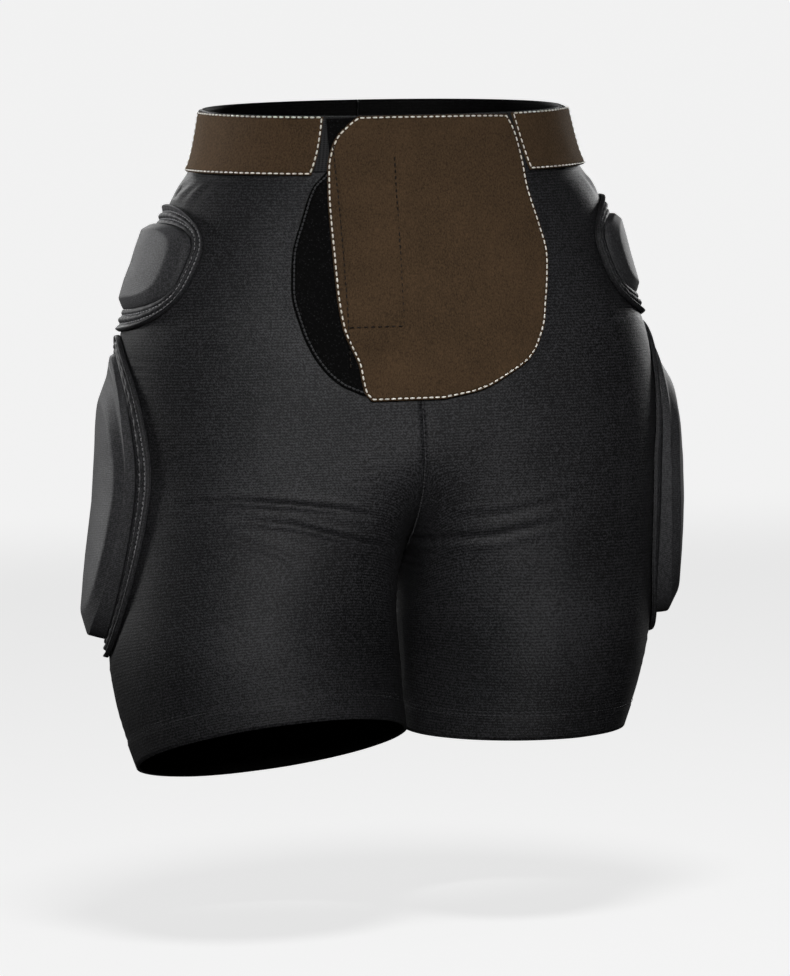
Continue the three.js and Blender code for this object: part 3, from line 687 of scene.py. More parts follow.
# Sharp valleys with a soft ridge below each.
def valleyRelief(point):
    if point.y > 0:
        return 0
    height = 0
    shape = valleyShape
    for line, depth, width in valleys:
        (fromX, fromZ), (toX, _) = line[0], line[-1]
        level = abs(point.z - fromZ) < shape["nearZ"]
        if fromZ > shape["beltZ"] or level and fromX - shape["nearX"] < point.x < toX + shape["nearX"]:
            away, along = nearestOnLine(line, point.x, point.z)
            if away < shape["reach"] * width:
                fade = math.sin(math.pi * clamp(along, *shape["ends"])) ** shape["fade"]
                ridge = bump(away - shape["ridgeAway"] * width, shape["ridgeWidth"] * width)
                height += depth * fade * (shape["ridge"] * ridge - bump(away, width))
    return height


# Fine ripples where the pads pull on the cloth, running round the body.
def rippleRelief(point, side):
    reach = min(padReach(hipPad, point), padReach(thighPad, point))
    near = math.exp(-max(reach - 1, 0) / ripples["padFade"])
    if point.y < 0:
        level = bump(point.z - ripples["frontZ"], ripples["frontWidth"])
        near = max(near, level * smooth(*ripples["frontEase"], side * point.x))
    patch = smooth(*ripples["patchEase"], noise.noise(point / ripples["patch"]))
    waver = ripples["waver"] * noise.noise(point / ripples["waverSize"])
    wave = math.sin(2 * math.pi * (point.z + waver) / ripples["pitch"])
    return ripples["height"] * near * patch * wave


def seamRelief(point):
    away = abs(point.x - (0 if point.z < body["forkZ"] else readTable(trunk, point.z)[1]))
    pucker = (seamShape["pucker"] * math.sin(2 * math.pi * point.z / seamShape["puckerPitch"])
              * bump(away - seamShape["puckerAway"], seamShape["puckerAway"]))
    return -seamShape["groove"] * bump(away, seamShape["width"]) + pucker


# Rise of the doubled hem above its stitch line; up is the distance from the hem edge.
def hemRelief(up):
    low, high = (hem["height"] + ease for ease in hem["stepEase"])
    groove = hem["groove"] * bump(up - hem["height"], hem["grooveWidth"])
    return hem["step"] * (1 - smooth(low, high, up)) - groove


def shortsRelief(point, side, up):
    free = openCloth(point)
    slow = (noise.noise(point / shortsCloth["undulationSize"]) * shortsCloth["undulation"]
            + noise.noise(point / shortsCloth["crumpleSize"]) * shortsCloth["crumple"])
    height = free * (slow + valleyRelief(point) + rippleRelief(point, side))
    low = point.z < shortsCloth["seamTop"]
    if abs(point.x) < shortsCloth["seamReach"] and (low or point.y > 0) and point.z > shortsCloth["seamFoot"]:
        height += seamRelief(point) * (1 if low else free)
    return height + hemRelief(up)


# Where the centre seam runs at a place on the trunk.
def middleAt(point):
    lift = readTable(trunk, max(point.z, body["forkZ"]))[6]
    return readTable(trunk, max(point.z - lift * point.y, body["forkZ"]))[1]


# One half as a closed wall: the skin with its relief, the same skin moved inwards, and rounded open edges.
def makeShorts(side, word):
    points, quads, uvs, _ = skin(side, body["seamGap"])
    mesh = refine(makeObject("half", points, quads, None, uvs), 3)
    layer = mesh.uv_layers["cloth"].data
    places = [0.0] * len(mesh.vertices)
    for loop in mesh.loops:
        places[loop.vertex_index] = layer[loop.index].uv.y
    hemPlace = min(places)
    faceList = [tuple(p.vertices) for p in mesh.polygons]
    cornerPlaces = [[tuple(layer[i].uv) for i in p.loop_indices] for p in mesh.polygons]
    count = len(mesh.vertices)
    # an edge that only one face uses lies on the rim; a dictionary keeps the order
    edges = {(a, b): True for face in faceList for a, b in zip(face, face[1:] + face[:1])}
    rims = [(a, b) for a, b in edges if (b, a) not in edges]
    rimPoints = {a for a, _ in rims}
    outer, inner = [], []
    for i, vertex in enumerate(mesh.vertices):
        point, normal = vertex.co / millimetre, vertex.normal.copy()
        up = places[i] - hemPlace
        if i in rimPoints and up > 1 and places[i] < -0.5:
            normal.x = 0
            normal.normalize()
        point = point + normal * shortsRelief(point, side, up)
        within = point - normal * body["wall"]
        middle = middleAt(point)
        for p in (point, within):
            p.x = middle + side * max(side * (p.x - middle), body["seamGap"] / 2)
        outer.append(point)
        inner.append(within)
    inward = [tuple(i + count for i in reversed(face)) for face in faceList]
    inwardPlaces = [corner[::-1] for corner in cornerPlaces]
    strips = [(b, a, a + count, b + count) for a, b in rims]
    stripPlaces = [[(0, 0), (0, 1), (2, 1), (2, 0)] for _ in rims]
    bpy.data.meshes.remove(mesh)
    piece = makeObject(f"knit_shorts_{word}", outer + inner, faceList + inward + strips, knitCloth,
                       cornerPlaces + inwardPlaces + stripPlaces)
    # the inner faces take the jersey painted near black, painted shade inside the shorts
    piece.data.materials.append(shadedInnerCloth)
    kinds = [0] * len(faceList) + [1] * len(inward) + [0] * len(strips)
    piece.data.polygons.foreach_set("material_index", kinds)
    dress(piece, "knit", f"shorts_{word}")


centreSeam = {"from": -186, "to": -36, "trunkSteps": 20, "crotchSteps": 80, "backSteps": 90, "pitch": 2.9,
              "length": 2.3, "thread": 1.0, "lift": 0.1}


# The dashes of the centre seam, from the flap down, under the crotch and up the back to the waistband.
def makeCentreStitches():
    down, under, up = (centreSeam[word] for word in ("trunkSteps", "crotchSteps", "backSteps"))
    seam = [trunkPoint(1, 0, mix(centreSeam["from"], body["forkZ"], i / down), 0) for i in range(down)]
    seam += [crotchPoint(1, i / under, 0) for i in range(under)]
    seam += [trunkPoint(1, 1, mix(body["forkZ"], centreSeam["to"], i / up), 0) for i in range(up + 1)]
    line = []
    for before, here, after in zip(seam, seam[1:], seam[2:]):
        normal = (after - before).cross(Vector((1, 0, 0))).normalized()
        relief = shortsRelief(here, 1, 1000) + seamShape["level"]
        line.append((here + normal * relief, normal))
    stitches = makeStitches("centre_stitches", line, charcoalThread, centreSeam["pitch"], centreSeam["length"],
                            centreSeam["thread"], lift=centreSeam["lift"])


for side, word in ((-1, "right"), (1, "left")):
    makeShorts(side, word)
print("shorts knitted")


# Places from 0 to 1 that crowd at both ends.
def crowded(count, share=0.85):
    full = 2 * math.pi
    return [i / count - share * math.sin(full * (i / count)) / full for i in range(count + 1)]


# A closed slab over a grid of spots, from below to above them. Heights are called with the row and column.
def makeSlab(name, spots, below, above, material, closed=False, hub=None, hubHeights=(0, 0)):
    rows, columns = len(spots), len(spots[0])
    top = [[p + n * above(r, c) for c, (p, n) in enumerate(row)] for r, row in enumerate(spots)]
    base = [[p + n * below(r, c) for c, (p, n) in enumerate(row)] for r, row in enumerate(spots)]
    points = [p for row in top for p in row] + [p for row in base for p in row]
    half = rows * columns
    across, along = [0.0], [0.0]
    for r in range(1, rows):
        across.append(across[-1] + (top[r][columns // 2] - top[r - 1][columns // 2]).length)
    for c in range(1, columns + 1):
        along.append(along[-1] + (top[rows // 2][c % columns] - top[rows // 2][c - 1]).length)
    faces, uvs = [], []

    def add(corners, places, turned):
        faces.append(corners[::-1] if turned else corners)
        uvs.append(places[::-1] if turned else places)

    steps = columns if closed else columns - 1
    for layer, start in enumerate((0, half)):
        for r in range(rows - 1):
            for c in range(steps):
                n = (c + 1) % columns
                corners = [start + r * columns + c, start + (r + 1) * columns + c,
                           start + (r + 1) * columns + n, start + r * columns + n]
                places = [(along[c], -across[r]), (along[c], -across[r + 1]),
                          (along[c + 1], -across[r + 1]), (along[c + 1], -across[r])]
                add(corners, places, layer == 1)

    def wall(line):
        for a, b in line:
            add([a, b, b + half, a + half], [(0, 0), (1, 0), (1, 1), (0, 1)], True)

    low = (rows - 1) * columns
    wall([(low + c, low + (c + 1) % columns) for c in range(steps)])
    if hub:
        points.extend((hub[0] + hub[1] * hubHeights[1], hub[0] + hub[1] * hubHeights[0]))
        for c in range(columns):
            n = (c + 1) % columns
            add([2 * half, c, n], [(along[c], 4), (along[c], 0), (along[c + 1], 0)], False)
            add([2 * half + 1, half + n, half + c], [(0, 4), (1, 0), (0, 0)], False)
    else:
        wall([((c + 1) % columns, c) for c in range(steps)])
    if not closed:
        wall([(r * columns, (r + 1) * columns) for r in range(rows - 1)])
        wall([((r + 1) * columns + columns - 1, r * columns + columns - 1) for r in range(rows - 1)])
    piece = makeObject(name, points, faces, material, uvs)
    turnOutward(piece.data)
    return piece, along[-1 if closed else columns - 1], across[-1]


def turnOutward(mesh):
    mesh.calc_loop_triangles()
    points = [v.co for v in mesh.vertices]
    corners = [tuple(triangle.vertices) for triangle in mesh.loop_triangles]
    volume = sum(points[a].dot(points[b].cross(points[c])) for a, b, c in corners)
    if volume < 0:
        mesh.flip_normals()


# Share of a rounded edge's height: rim at its rim, 1 from the radius inwards.
def edgeRound(distance, rim, radius=0.9):
    return rim + (1 - rim) * math.sqrt(1 - (1 - clamp(distance / radius)) ** 2)


# One stitch: sections along it, points round it, the taper of its ends and how deep it is pulled in.
capsule = {"ends": (0, 0.12, 0.35, 0.65, 0.88, 1), "around": 6, "taper": (0.12, 0.76), "blunt": 0.6,
           "rise": 0.12}


# Stitches along a line of spots, each a small arched capsule. The line holds (point, normal) in millimetres.
def makeStitches(name, line, thread, pitch, length, thickness, lift=0.15, closed=False, flat=0.7):
    spots = list(line) + ([line[0]] if closed else [])
    places = [0.0]
    for (a, _), (b, _) in zip(spots, spots[1:]):
        places.append(places[-1] + (b - a).length)
    count = max(int(places[-1] / pitch), 1)
    step = places[-1] / count

    def at(distance):
        distance = clamp(distance, 0, places[-1])
        low, high = 0, len(places) - 1
        while high - low > 1:
            middle = (low + high) // 2
            low, high = (middle, high) if places[middle] <= distance else (low, middle)
        t = (distance - places[low]) / max(places[high] - places[low], 1e-9)
        (p, n), (q, m) = spots[low], spots[high]
        return p.lerp(q, t), n.lerp(m, t).normalized()

    points, faces, uvs = [], [], []
    ends, around = capsule["ends"], capsule["around"]
    taper, spread = capsule["taper"]
    for s in range(count):
        start = (s + 0.5) * step - length / 2
        head, tail = at(start)[0], at(start + length)[0]
        along = (tail - head).normalized()
        first = len(points)
        for e in ends:
            centre, normal = at(start + length * e)
            across = normal.cross(along).normalized()
            swell = math.sin(math.pi * (taper + spread * e)) ** capsule["blunt"] * thickness / 2
            arch = lift * math.sin(math.pi * e) + thickness * capsule["rise"]
            for k in range(around):
                turn = 2 * math.pi * k / around
                out = arch + flat * swell * math.sin(turn)
                points.append(centre + normal * out + across * swell * math.cos(turn))
        for i in range(len(ends) - 1):
            for k in range(around):
                n = (k + 1) % around
                a, b = first + i * around, first + (i + 1) * around
                faces.append((a + k, a + n, b + n, b + k))
                u, v = length * ends[i], length * ends[i + 1]
                uvs.append([(u, k * 0.5), (u, k * 0.5 + 0.5), (v, k * 0.5 + 0.5), (v, k * 0.5)])
        last = first + (len(ends) - 1) * around
        faces.append(tuple(first + k for k in reversed(range(around))))
        uvs.append([(0, 0)] * around)
        faces.append(tuple(last + k for k in range(around)))
        uvs.append([(0, 0)] * around)
    piece = makeObject(name, points, faces, thread, uvs)
    turnOutward(piece.data)
    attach(piece, "root")
    return piece


def raised(spot, height):
    return spot[0] + spot[1] * height, spot[1]


makeCentreStitches()


# The elastic waistband, in millimetres below the rim: ribs, and a binding along the top with a groove under it.
band = {"top": 0.8, "height": 37.5, "lay": 0.6, "thickness": 1.4, "join": 0.001, "columns": 120, "rows": 14,
        "rim": 0.3, "round": 0.8, "rib": 0.1, "ribPitch": 4.2, "ribEase": (0.5, 2), "binding": 0.5,
        "bindingEdge": (5.5, 6.5), "groove": 0.3, "grooveAt": 6.2, "grooveWidth": 0.6, "bindingShare": 0.6,
        "joinSteps": 20, "pitch": 2.2, "length": 1.9, "thread": 1.3, "lift": 0.1, "flat": (0.33, 0.037)}


def makeWaistband(side, word):
    downs = [mix(band["top"], band["height"], t) for t in crowded(band["rows"])]
    turns = [mix(band["join"], 1 - band["join"], c / band["columns"]) for c in range(band["columns"] + 1)]
    spots = [[fromBelt(side, turn, depth) for turn in turns] for depth in downs]

    def face(r, c):
        edge = min(downs[r] - band["top"], band["height"] - downs[r])
        rib = band["rib"] * math.sin(2 * math.pi * downs[r] / band["ribPitch"])
        binding = (band["binding"] * (1 - smooth(*band["bindingEdge"], downs[r]))
                   - band["groove"] * bump(downs[r] - band["grooveAt"], band["grooveWidth"]))
        rise = band["lay"] + band["thickness"] * edgeRound(edge, band["rim"], band["round"])
        return rise + rib * smooth(*band["ribEase"], edge) + binding * smooth(0, 1, edge) * band["bindingShare"]

    piece, length, _ = makeSlab(f"elastic_band_{word}", spots, lambda r, c: band["lay"], face, elasticCloth)
    dress(piece, "elastic", f"waistband_{word}")
    print("  waistband half", round(length))


# The row of stitches that joins the two halves at the back.
def makeBandStitches():
    level = band["lay"] + band["thickness"]
    steps = band["joinSteps"]
    depths = [mix(band["top"] + 1, band["height"] - 1, i / steps) for i in range(steps + 1)]
    line = [raised(fromBelt(1, 1, depth), level) for depth in depths]
    stitches = makeStitches("waistband_stitches", line, charcoalThread, band["pitch"], band["length"],
                            band["thread"], lift=band["lift"])


for side, word in ((-1, "right"), (1, "left")):
    makeWaistband(side, word)
makeBandStitches()

# The fleece wings of the belt, in millimetres below the rim; they start and end at shares of half the waist.
wing = {
    "top": 1.4, "bottom": 40, "lay": 2.6, "thickness": 1.8, "columns": 70, "rows": 26, "inset": 0.7,
    "rim": 0.25, "pitch": 3.95, "length": 2.7, "thread": 1.15, "soft": 0.35, "softSize": 17,
    "softEase": (1, 6), "pull": 0.45, "pullWidth": 0.9, "sink": 0.35, "longSteps": 60, "shortSteps": 20,
    "right": {"side": -1, "frontTop": 0.139, "frontBottom": 0.151, "curve": 2, "rear": 0.49,
              "flat": (0.114, 0.0386)},
    "left": {"side": 1, "frontTop": 0.182, "frontBottom": 0.196, "curve": 1, "rear": 0.415,
             "flat": (0.073, 0.0386)},
}


def wingSpot(own, share, depth):
    low = (depth - wing["top"]) / (wing["bottom"] - wing["top"])
    start = mix(own["frontTop"], own["frontBottom"], low ** own["curve"])
    return fromBelt(own["side"], mix(start, own["rear"], share), depth)


def makeWing(word):
    own = wing[word]
    width = own["flat"][0] * 1000
    downs = [mix(wing["top"], wing["bottom"], t) for t in crowded(wing["rows"], 0.8)]
    shares = crowded(wing["columns"], 0.8)
    spots = [[wingSpot(own, share, depth) for share in shares] for depth in downs]

    def face(r, c):
        edge = min(downs[r] - wing["top"], wing["bottom"] - downs[r],
                   shares[c] * width, (1 - shares[c]) * width)
        soft = wing["soft"] * noise.noise(spots[r][c][0] / wing["softSize"]) * smooth(*wing["softEase"], edge)
        pulled = wing["pull"] * bump(edge - wing["inset"], wing["pullWidth"])
        return wing["lay"] + wing["thickness"] * edgeRound(edge, wing["rim"]) + soft - pulled

    piece, length, height = makeSlab(f"fleece_wing_{word}", spots, lambda r, c: wing["lay"], face, fleeceCloth)
    dress(piece, "fleece", f"belt_wing_{word}")
    print("  wing", word, round(length), round(height))
    inset = wing["inset"] / width
    level = wing["lay"] + wing["thickness"] - wing["sink"]
    top, bottom = wing["top"] + wing["inset"], wing["bottom"] - wing["inset"]
    long, short = wing["longSteps"], wing["shortSteps"]
    line = [wingSpot(own, mix(inset, 1 - inset, i / long), top) for i in range(long + 1)]
    line += [wingSpot(own, 1 - inset, mix(top, bottom, i / short)) for i in range(1, short + 1)]
    line += [wingSpot(own, mix(1 - inset, inset, i / long), bottom) for i in range(1, long + 1)]
    line += [wingSpot(own, inset, mix(bottom, top, i / short)) for i in range(1, short)]
    stitches = makeStitches(f"wing_stitches_{word}", [raised(s, level) for s in line], whiteThread,
                            wing["pitch"], wing["length"], wing["thread"], closed=True)


for word in ("right", "left"):
    makeWing(word)
print("belt wings sewn")

# The front: a loop panel, the hook strip on it and the flap on top. lay is the height of the panel on the
# cloth, which climbs onto the belt between the two heights of belt. Each ridge of the panel's edge is a height,
# a place and a width.
front = {
    "lay": 0.9, "layer": 0.6, "bandFace": 2.0, "belt": (-62, -44), "hook": (-46, -12, -36, -143), "clear": 8,
    "ease": 9, "edgeSteps": 140, "footSteps": 20,
}
panel = {
    "thickness": 1.5, "rim": 0.2, "sink": 0.25, "rows": 64, "columns": 70, "tufts": 0.22, "tuftSize": 1.7,
    "tuftEase": (6, 9), "ridges": ((0.5, 1.6, 1.3), (-0.4, 3.6, 0.8), (0.25, 5.2, 1.0)), "inset": 2.0,
    "level": 0.35, "pitch": 2.7, "length": 2.2, "thread": 1.2, "flat": (0.16, 0.173), "area": 0.0243,
}
hookStrip = {"thickness": 1.2, "rim": 0.5, "round": 0.8, "rows": 40, "columns": 14, "flat": (0.035, 0.107)}
flap = {
    "thickness": 1.9, "rim": 0.25, "rows": 110, "columns": 90, "soft": (0.7, 38), "crumple": (0.25, 12),
    "softEase": (2, 9), "pull": 0.5, "pullAt": 1.4, "pullWidth": 0.9, "inset": 1.3, "topZ": -13.9, "sink": 0.35,
    "stripRise": 0.9, "stripEase": 0.6, "stripTop": (-40, -36), "turnRise": 0.35, "turnEdge": (-21, -19.5),
    "turnSlant": 0.03, "sideGroove": (0.45, 0.8), "footGroove": (0.9, 1.1), "grooveTop": (-30, -40),
    "leftSeam": ((-47.5, -30), (-45.5, -168)), "rightSeamTop": -38, "darkPitch": 3.9, "darkLength": 2.5,
    "darkThread": 1.0, "flat": (0.14, 0.178), "area": 0.0212,
}


def frontLay(z):
    return mix(front["lay"], front["bandFace"] + front["layer"], smooth(*front["belt"], z))


def overPanel(z):
    return frontLay(z) + panel["thickness"] + front["layer"]


def within(start, end, v):
    clear, ease = front["clear"], front["ease"]
    return smooth(start - clear - ease, start - clear, v) * (1 - smooth(end + clear, end + clear + ease, v))


# 1 over the hook strip, falling to 0 around it.
def onHook(x, z):
    fromX, toX, fromZ, toZ = front["hook"]
    return within(fromX, toX, x) * within(toZ, fromZ, z)


def frontGrid(edges, downShares, acrossShares):
    spots, sizes = [], []
    for t in downShares:
        z = mix(edges[0][0], edges[-1][0], t)
        fromX, toX = readTable(edges, z)
        spots.append([fromFront(mix(fromX, toX, s), z) for s in acrossShares])
        sizes.append((z, fromX, toX))
    return spots, sizes


# Distance of a grid place from the outline.
def edgeDistance(sizes, edges, acrossShares, r, c):
    z, fromX, toX = sizes[r]
    x = mix(fromX, toX, acrossShares[c])
    slopeLeft = readTable(edges, z - 1)[0] - fromX
    slopeRight = readTable(edges, z - 1)[1] - toX
    left = (x - fromX) / math.hypot(1, slopeLeft)
    right = (toX - x) / math.hypot(1, slopeRight)
    return min(left, right, edges[0][0] - z, z - edges[-1][0])


# A line that follows the outline at a distance inside it, from the top left down and round to the top right.
def outline(edges, inset):
    rows, foot = front["edgeSteps"], front["footSteps"]
    top, bottom = edges[0][0] - inset, edges[-1][0] + inset
    left, right = [], []
    for i in range(rows + 1):
        z = mix(top, bottom, i / rows)
        fromX, toX = readTable(edges, z)
        slopeLeft = readTable(edges, z - 0.5)[0] - readTable(edges, z + 0.5)[0]
        slopeRight = readTable(edges, z - 0.5)[1] - readTable(edges, z + 0.5)[1]
        left.append((fromX + inset * math.hypot(1, slopeLeft), z))
        right.append((toX - inset * math.hypot(1, slopeRight), z))
    low = [(mix(left[-1][0], right[-1][0], i / foot), bottom) for i in range(1, foot)]
    return left + low + right[::-1]


def makePanel():
    downs, acrosses = crowded(panel["rows"], 0.8), crowded(panel["columns"], 0.8)
    spots, sizes = frontGrid(panelEdges, downs, acrosses)

    def lay(r, c):
        return frontLay(sizes[r][0])

    def face(r, c):
        edge = edgeDistance(sizes, panelEdges, acrosses, r, c)
        ridge = sum(height * bump(edge - place, width) for height, place, width in panel["ridges"])
        tufts = panel["tufts"] * noise.noise(spots[r][c][0] / panel["tuftSize"])
        tufts *= smooth(*panel["tuftEase"], edge)
        return lay(r, c) + panel["thickness"] * edgeRound(edge, panel["rim"]) + ridge + tufts - panel["sink"]

    piece, _, _ = makeSlab("plush_panel", spots, lay, face, plushCloth)
    dress(piece, "plush", "loop_panel")
    level = panel["thickness"] + panel["level"]
    line = [fromFront(x, z) for x, z in outline(panelEdges, panel["inset"]) if z < -wing["bottom"]]
    line = [raised(spot, frontLay(spot[0].z) + level) for spot in line]
    overlock = makeStitches("panel_overlock", line, charcoalThread, panel["pitch"], panel["length"],
                            panel["thread"])


def makeHookStrip():
    fromX, toX, fromZ, toZ = front["hook"]
    downs, acrosses = crowded(hookStrip["rows"], 0.6), crowded(hookStrip["columns"], 0.6)
    spots = [[fromFront(mix(fromX, toX, s), mix(fromZ, toZ, t)) for s in acrosses] for t in downs]

    def lay(r, c):
        return overPanel(mix(fromZ, toZ, downs[r]))

    def face(r, c):
        sideways, upwards = (min(share, 1 - share) for share in (acrosses[c], downs[r]))
        edge = min(sideways * (toX - fromX), upwards * (fromZ - toZ))
        return lay(r, c) + hookStrip["thickness"] * edgeRound(edge, hookStrip["rim"], hookStrip["round"])

    piece, _, _ = makeSlab("hook_tape", spots, lay, face, hookCloth)
    dress(piece, "hook_tape", "hook_strip")


def makeFlap():
    downs, acrosses = crowded(flap["rows"], 0.8), crowded(flap["columns"], 0.8)
    spots, sizes = frontGrid(flapEdges, downs, acrosses)
    hookFromX, hookToX, _, hookToZ = front["hook"]

    def lay(r, c):
        point = spots[r][c][0]
        return overPanel(point.z) + (hookStrip["thickness"] + front["layer"]) * onHook(point.x, point.z)

    def softness(point, edge):
        soft, crumple = (height * noise.noise(point / size) for height, size in (flap["soft"], flap["crumple"]))
        return (soft + crumple) * smooth(*flap["softEase"], edge)

    # the hook strip's edge and its seam show through the fleece, and the top is turned under
    def shown(x, z):
        ease = flap["stripEase"]
        strip = smooth(hookFromX - 1, hookFromX + 1, x) * (1 - smooth(hookToX - ease, hookToX + ease, x))
        strip *= smooth(hookToZ - ease, hookToZ + ease, z) * (1 - smooth(*flap["stripTop"], z))
        turned = flap["turnRise"] * smooth(*flap["turnEdge"], z + flap["turnSlant"] * x)
        deep, width = flap["sideGroove"]
        groove = deep * bump(x - hookToX, width) * (z > hookToZ) * smooth(*flap["grooveTop"], z)
        deep, width = flap["footGroove"]
        low = deep * bump(z - hookToZ + 0.8, width)
        groove += low * smooth(hookFromX - 3, hookFromX, x) * (x < hookToX + 2)
        return flap["stripRise"] * strip + turned - groove

    def face(r, c):
        point = spots[r][c][0]
        edge = edgeDistance(sizes, flapEdges, acrosses, r, c)
        pulled = flap["pull"] * bump(edge - flap["pullAt"], flap["pullWidth"])
        rise = lay(r, c) + flap["thickness"] * edgeRound(edge, flap["rim"])
        return rise + softness(point, edge) + shown(point.x, point.z) - pulled

    piece, _, _ = makeSlab("fleece_flap", spots, lay, face, fleeceCloth)
    dress(piece, "fleece", "front_flap")
    border = [fromFront(x, z) for x, z in outline(flapEdges, flap["inset"])]
    topEdge = [fromFront(mix(border[-1][0].x, border[0][0].x, i / 30), flap["topZ"]) for i in range(1, 30)]

    def onFlap(spot, drop):
        point = spot[0]
        hook = (hookStrip["thickness"] + front["layer"]) * onHook(point.x, point.z)
        fromX, toX = readTable(flapEdges, point.z)
        low = softness(point, min(point.x - fromX, toX - point.x)) + shown(point.x, point.z) - drop
        return raised(spot, overPanel(point.z) + hook + flap["thickness"] + low)

    edge = [onFlap(spot, flap["sink"]) for spot in border + topEdge]
    edging = makeStitches("flap_stitches", edge, whiteThread, wing["pitch"], wing["length"], wing["thread"],
                          closed=True)
    (leftX, topZ), (footX, footZ) = flap["leftSeam"]
    inner = [fromFront(mix(leftX, footX, i / 60), mix(topZ, footZ, i / 60)) for i in range(61)]
    low = [fromFront(mix(hookFromX, hookToX, i / 20), hookToZ) for i in range(21)]
    right = [fromFront(hookToX, mix(flap["rightSeamTop"], hookToZ, i / 50)) for i in range(51)]
    for name, line, drop in (("left", inner, 0.1), ("low", low, 0.05), ("right", right, 0.05)):
        makeStitches(f"flap_seam_{name}", [onFlap(spot, drop) for spot in line], brownThread,
                                 flap["darkPitch"], flap["darkLength"], flap["darkThread"])


makePanel()
makeHookStrip()
makeFlap()
print("front pieces sewn")

# The pads at the hips and thighs. Sections of a pad block go from its foot up: half depth, half height, shift
# to the back and up, rise from the cloth, and what it gains for each millimetre towards the back. stand is the
# share of the rise that the pad on each side has, and tilt what it gains for each millimetre upwards.
hipPad.update({
    "name": "hip", "lay": 0.9, "steps": 150, "crown": 10.6, "corner": 1.6, "frameFlat": (0.012, 0.36),
    "stand": {-1: 1, 1: 0.85}, "tilt": 0.06,
    "sections": [(60, 26.5, 0, 0, 2.6, 0), (58.6, 25.8, 0, 0, 5.5, 0), (51, 21.5, 0, 0, 9.6, 0),
                 (26, 10, 0, 0, 10.4, 0)],
})
thighPad.update({
    "name": "thigh", "lay": 0.9, "steps": 190, "crown": 20.3, "corner": 1.5,
    "frameFlat": (0.0125, 0.51), "stand": {-1: 1, 1: 1}, "tilt": -0.04,
    "sections": [(41, 91.5, 0, 0, 2.8, 0), (39.8, 89.5, 0, 0, 9.8, 0), (37.5, 84, -1.5, -5, 11, 0.04),
                 (31.5, 69, -3.5, -7, 17.5, 0.08), (16, 36, -2, -5, 19.6, 0.06)],
})
padCover = {"puckerHeight": 0.12, "puckerEvery": 5, "puckerRise": (3, 1.5), "soft": 0.25, "softSize": 14}
# The frames' profile is drawn over the share of the way in: each cord, row and swell has a place and a width.
padFrame = {"thickness": 2.4, "height": 0.85, "rings": 22, "samples": 720, "base": 0.85, "climb": 0.25,
            "cord": (0.7, 0.10, 0.09), "rows": (0.36, 0.74), "row": (0.7, 0.075), "swell": (0.3, 0.55, 0.12),
            "pucker": (0.22, 0.16, 7), "width": 11.5, "rim": 0.2, "round": 1.3, "rowSteps": 220, "pitch": 3.1,
            "length": 2.1, "thread": 0.95, "lift": 0.3}


# The outline of a ring about its centre in even steps of its length.
def ringOutline(halfDepth, halfHeight, top, bottom, steps):
    fine = []
    for i in range(padFrame["samples"] + 1):
        angle = 2 * math.pi * i / padFrame["samples"]
        power = 2 / (top if math.sin(angle) > 0 else bottom)
        y, z = (math.copysign(abs(v) ** power, v) for v in (math.cos(angle), math.sin(angle)))
        fine.append(Vector((halfDepth * y, halfHeight * z)))
    lengths = [0.0]
    for a, b in zip(fine, fine[1:]):
        lengths.append(lengths[-1] + (b - a).length)
    places, i = [], 1
    for s in range(steps):
        at = lengths[-1] * s / steps
        while lengths[i] <= at:
            i += 1
        places.append(fine[i - 1].lerp(fine[i], (at - lengths[i - 1]) / (lengths[i] - lengths[i - 1])))
    return places


def padRing(pad, side, ring, steps, back=0, up=0):
    return [fromSide(side, pad["y"] + back + p.x, pad["z"] + up + p.y) for p in ringOutline(*ring, steps)]


# Cuts each corner of a pad's profile with a short curve and fills the lengths between.
def roundedSections(sections, corner):
    out = [sections[0]]
    for before, here, after in zip(sections, sections[1:], sections[2:]):
        def towards(other):
            length = math.hypot(other[0] - here[0], other[4] - here[4])
            return [mix(h, o, min(corner / length, 0.5)) for h, o in zip(here, other)]

        start, end = towards(before), towards(after)
        for i in range(6):
            t = i / 5
            out.append([mix(mix(s, h, t), mix(h, e, t), t) for s, h, e in zip(start, here, end)])
    out.append(sections[-1])
    filled = [out[0]]
    for a, b in zip(out, out[1:]):
        pieces = max(1, math.ceil(math.hypot(b[0] - a[0], b[4] - a[4]) / 3))
        filled.extend([mix(u, v, i / pieces) for u, v in zip(a, b)] for i in range(1, pieces + 1))
    return filled


# Lays the cover's cloth straight over a pad and on down its walls, so that its courses stay level.
def layCloth(mesh, pad):
    layer = mesh.uv_layers["cloth"].data
    highest = max(abs(vertex.co.x) for vertex in mesh.vertices) / millimetre
    halfDepth, halfHeight = pad["inner"][:2]
    for loop in mesh.loops:
        point = mesh.vertices[loop.vertex_index].co / millimetre
        fall = highest - abs(point.x)
        layer[loop.index].uv = (point.y + fall * clamp((point.y - pad["y"]) / halfDepth, -1, 1),
                                point.z + fall * clamp((point.z - pad["z"]) / halfHeight, -1, 1))


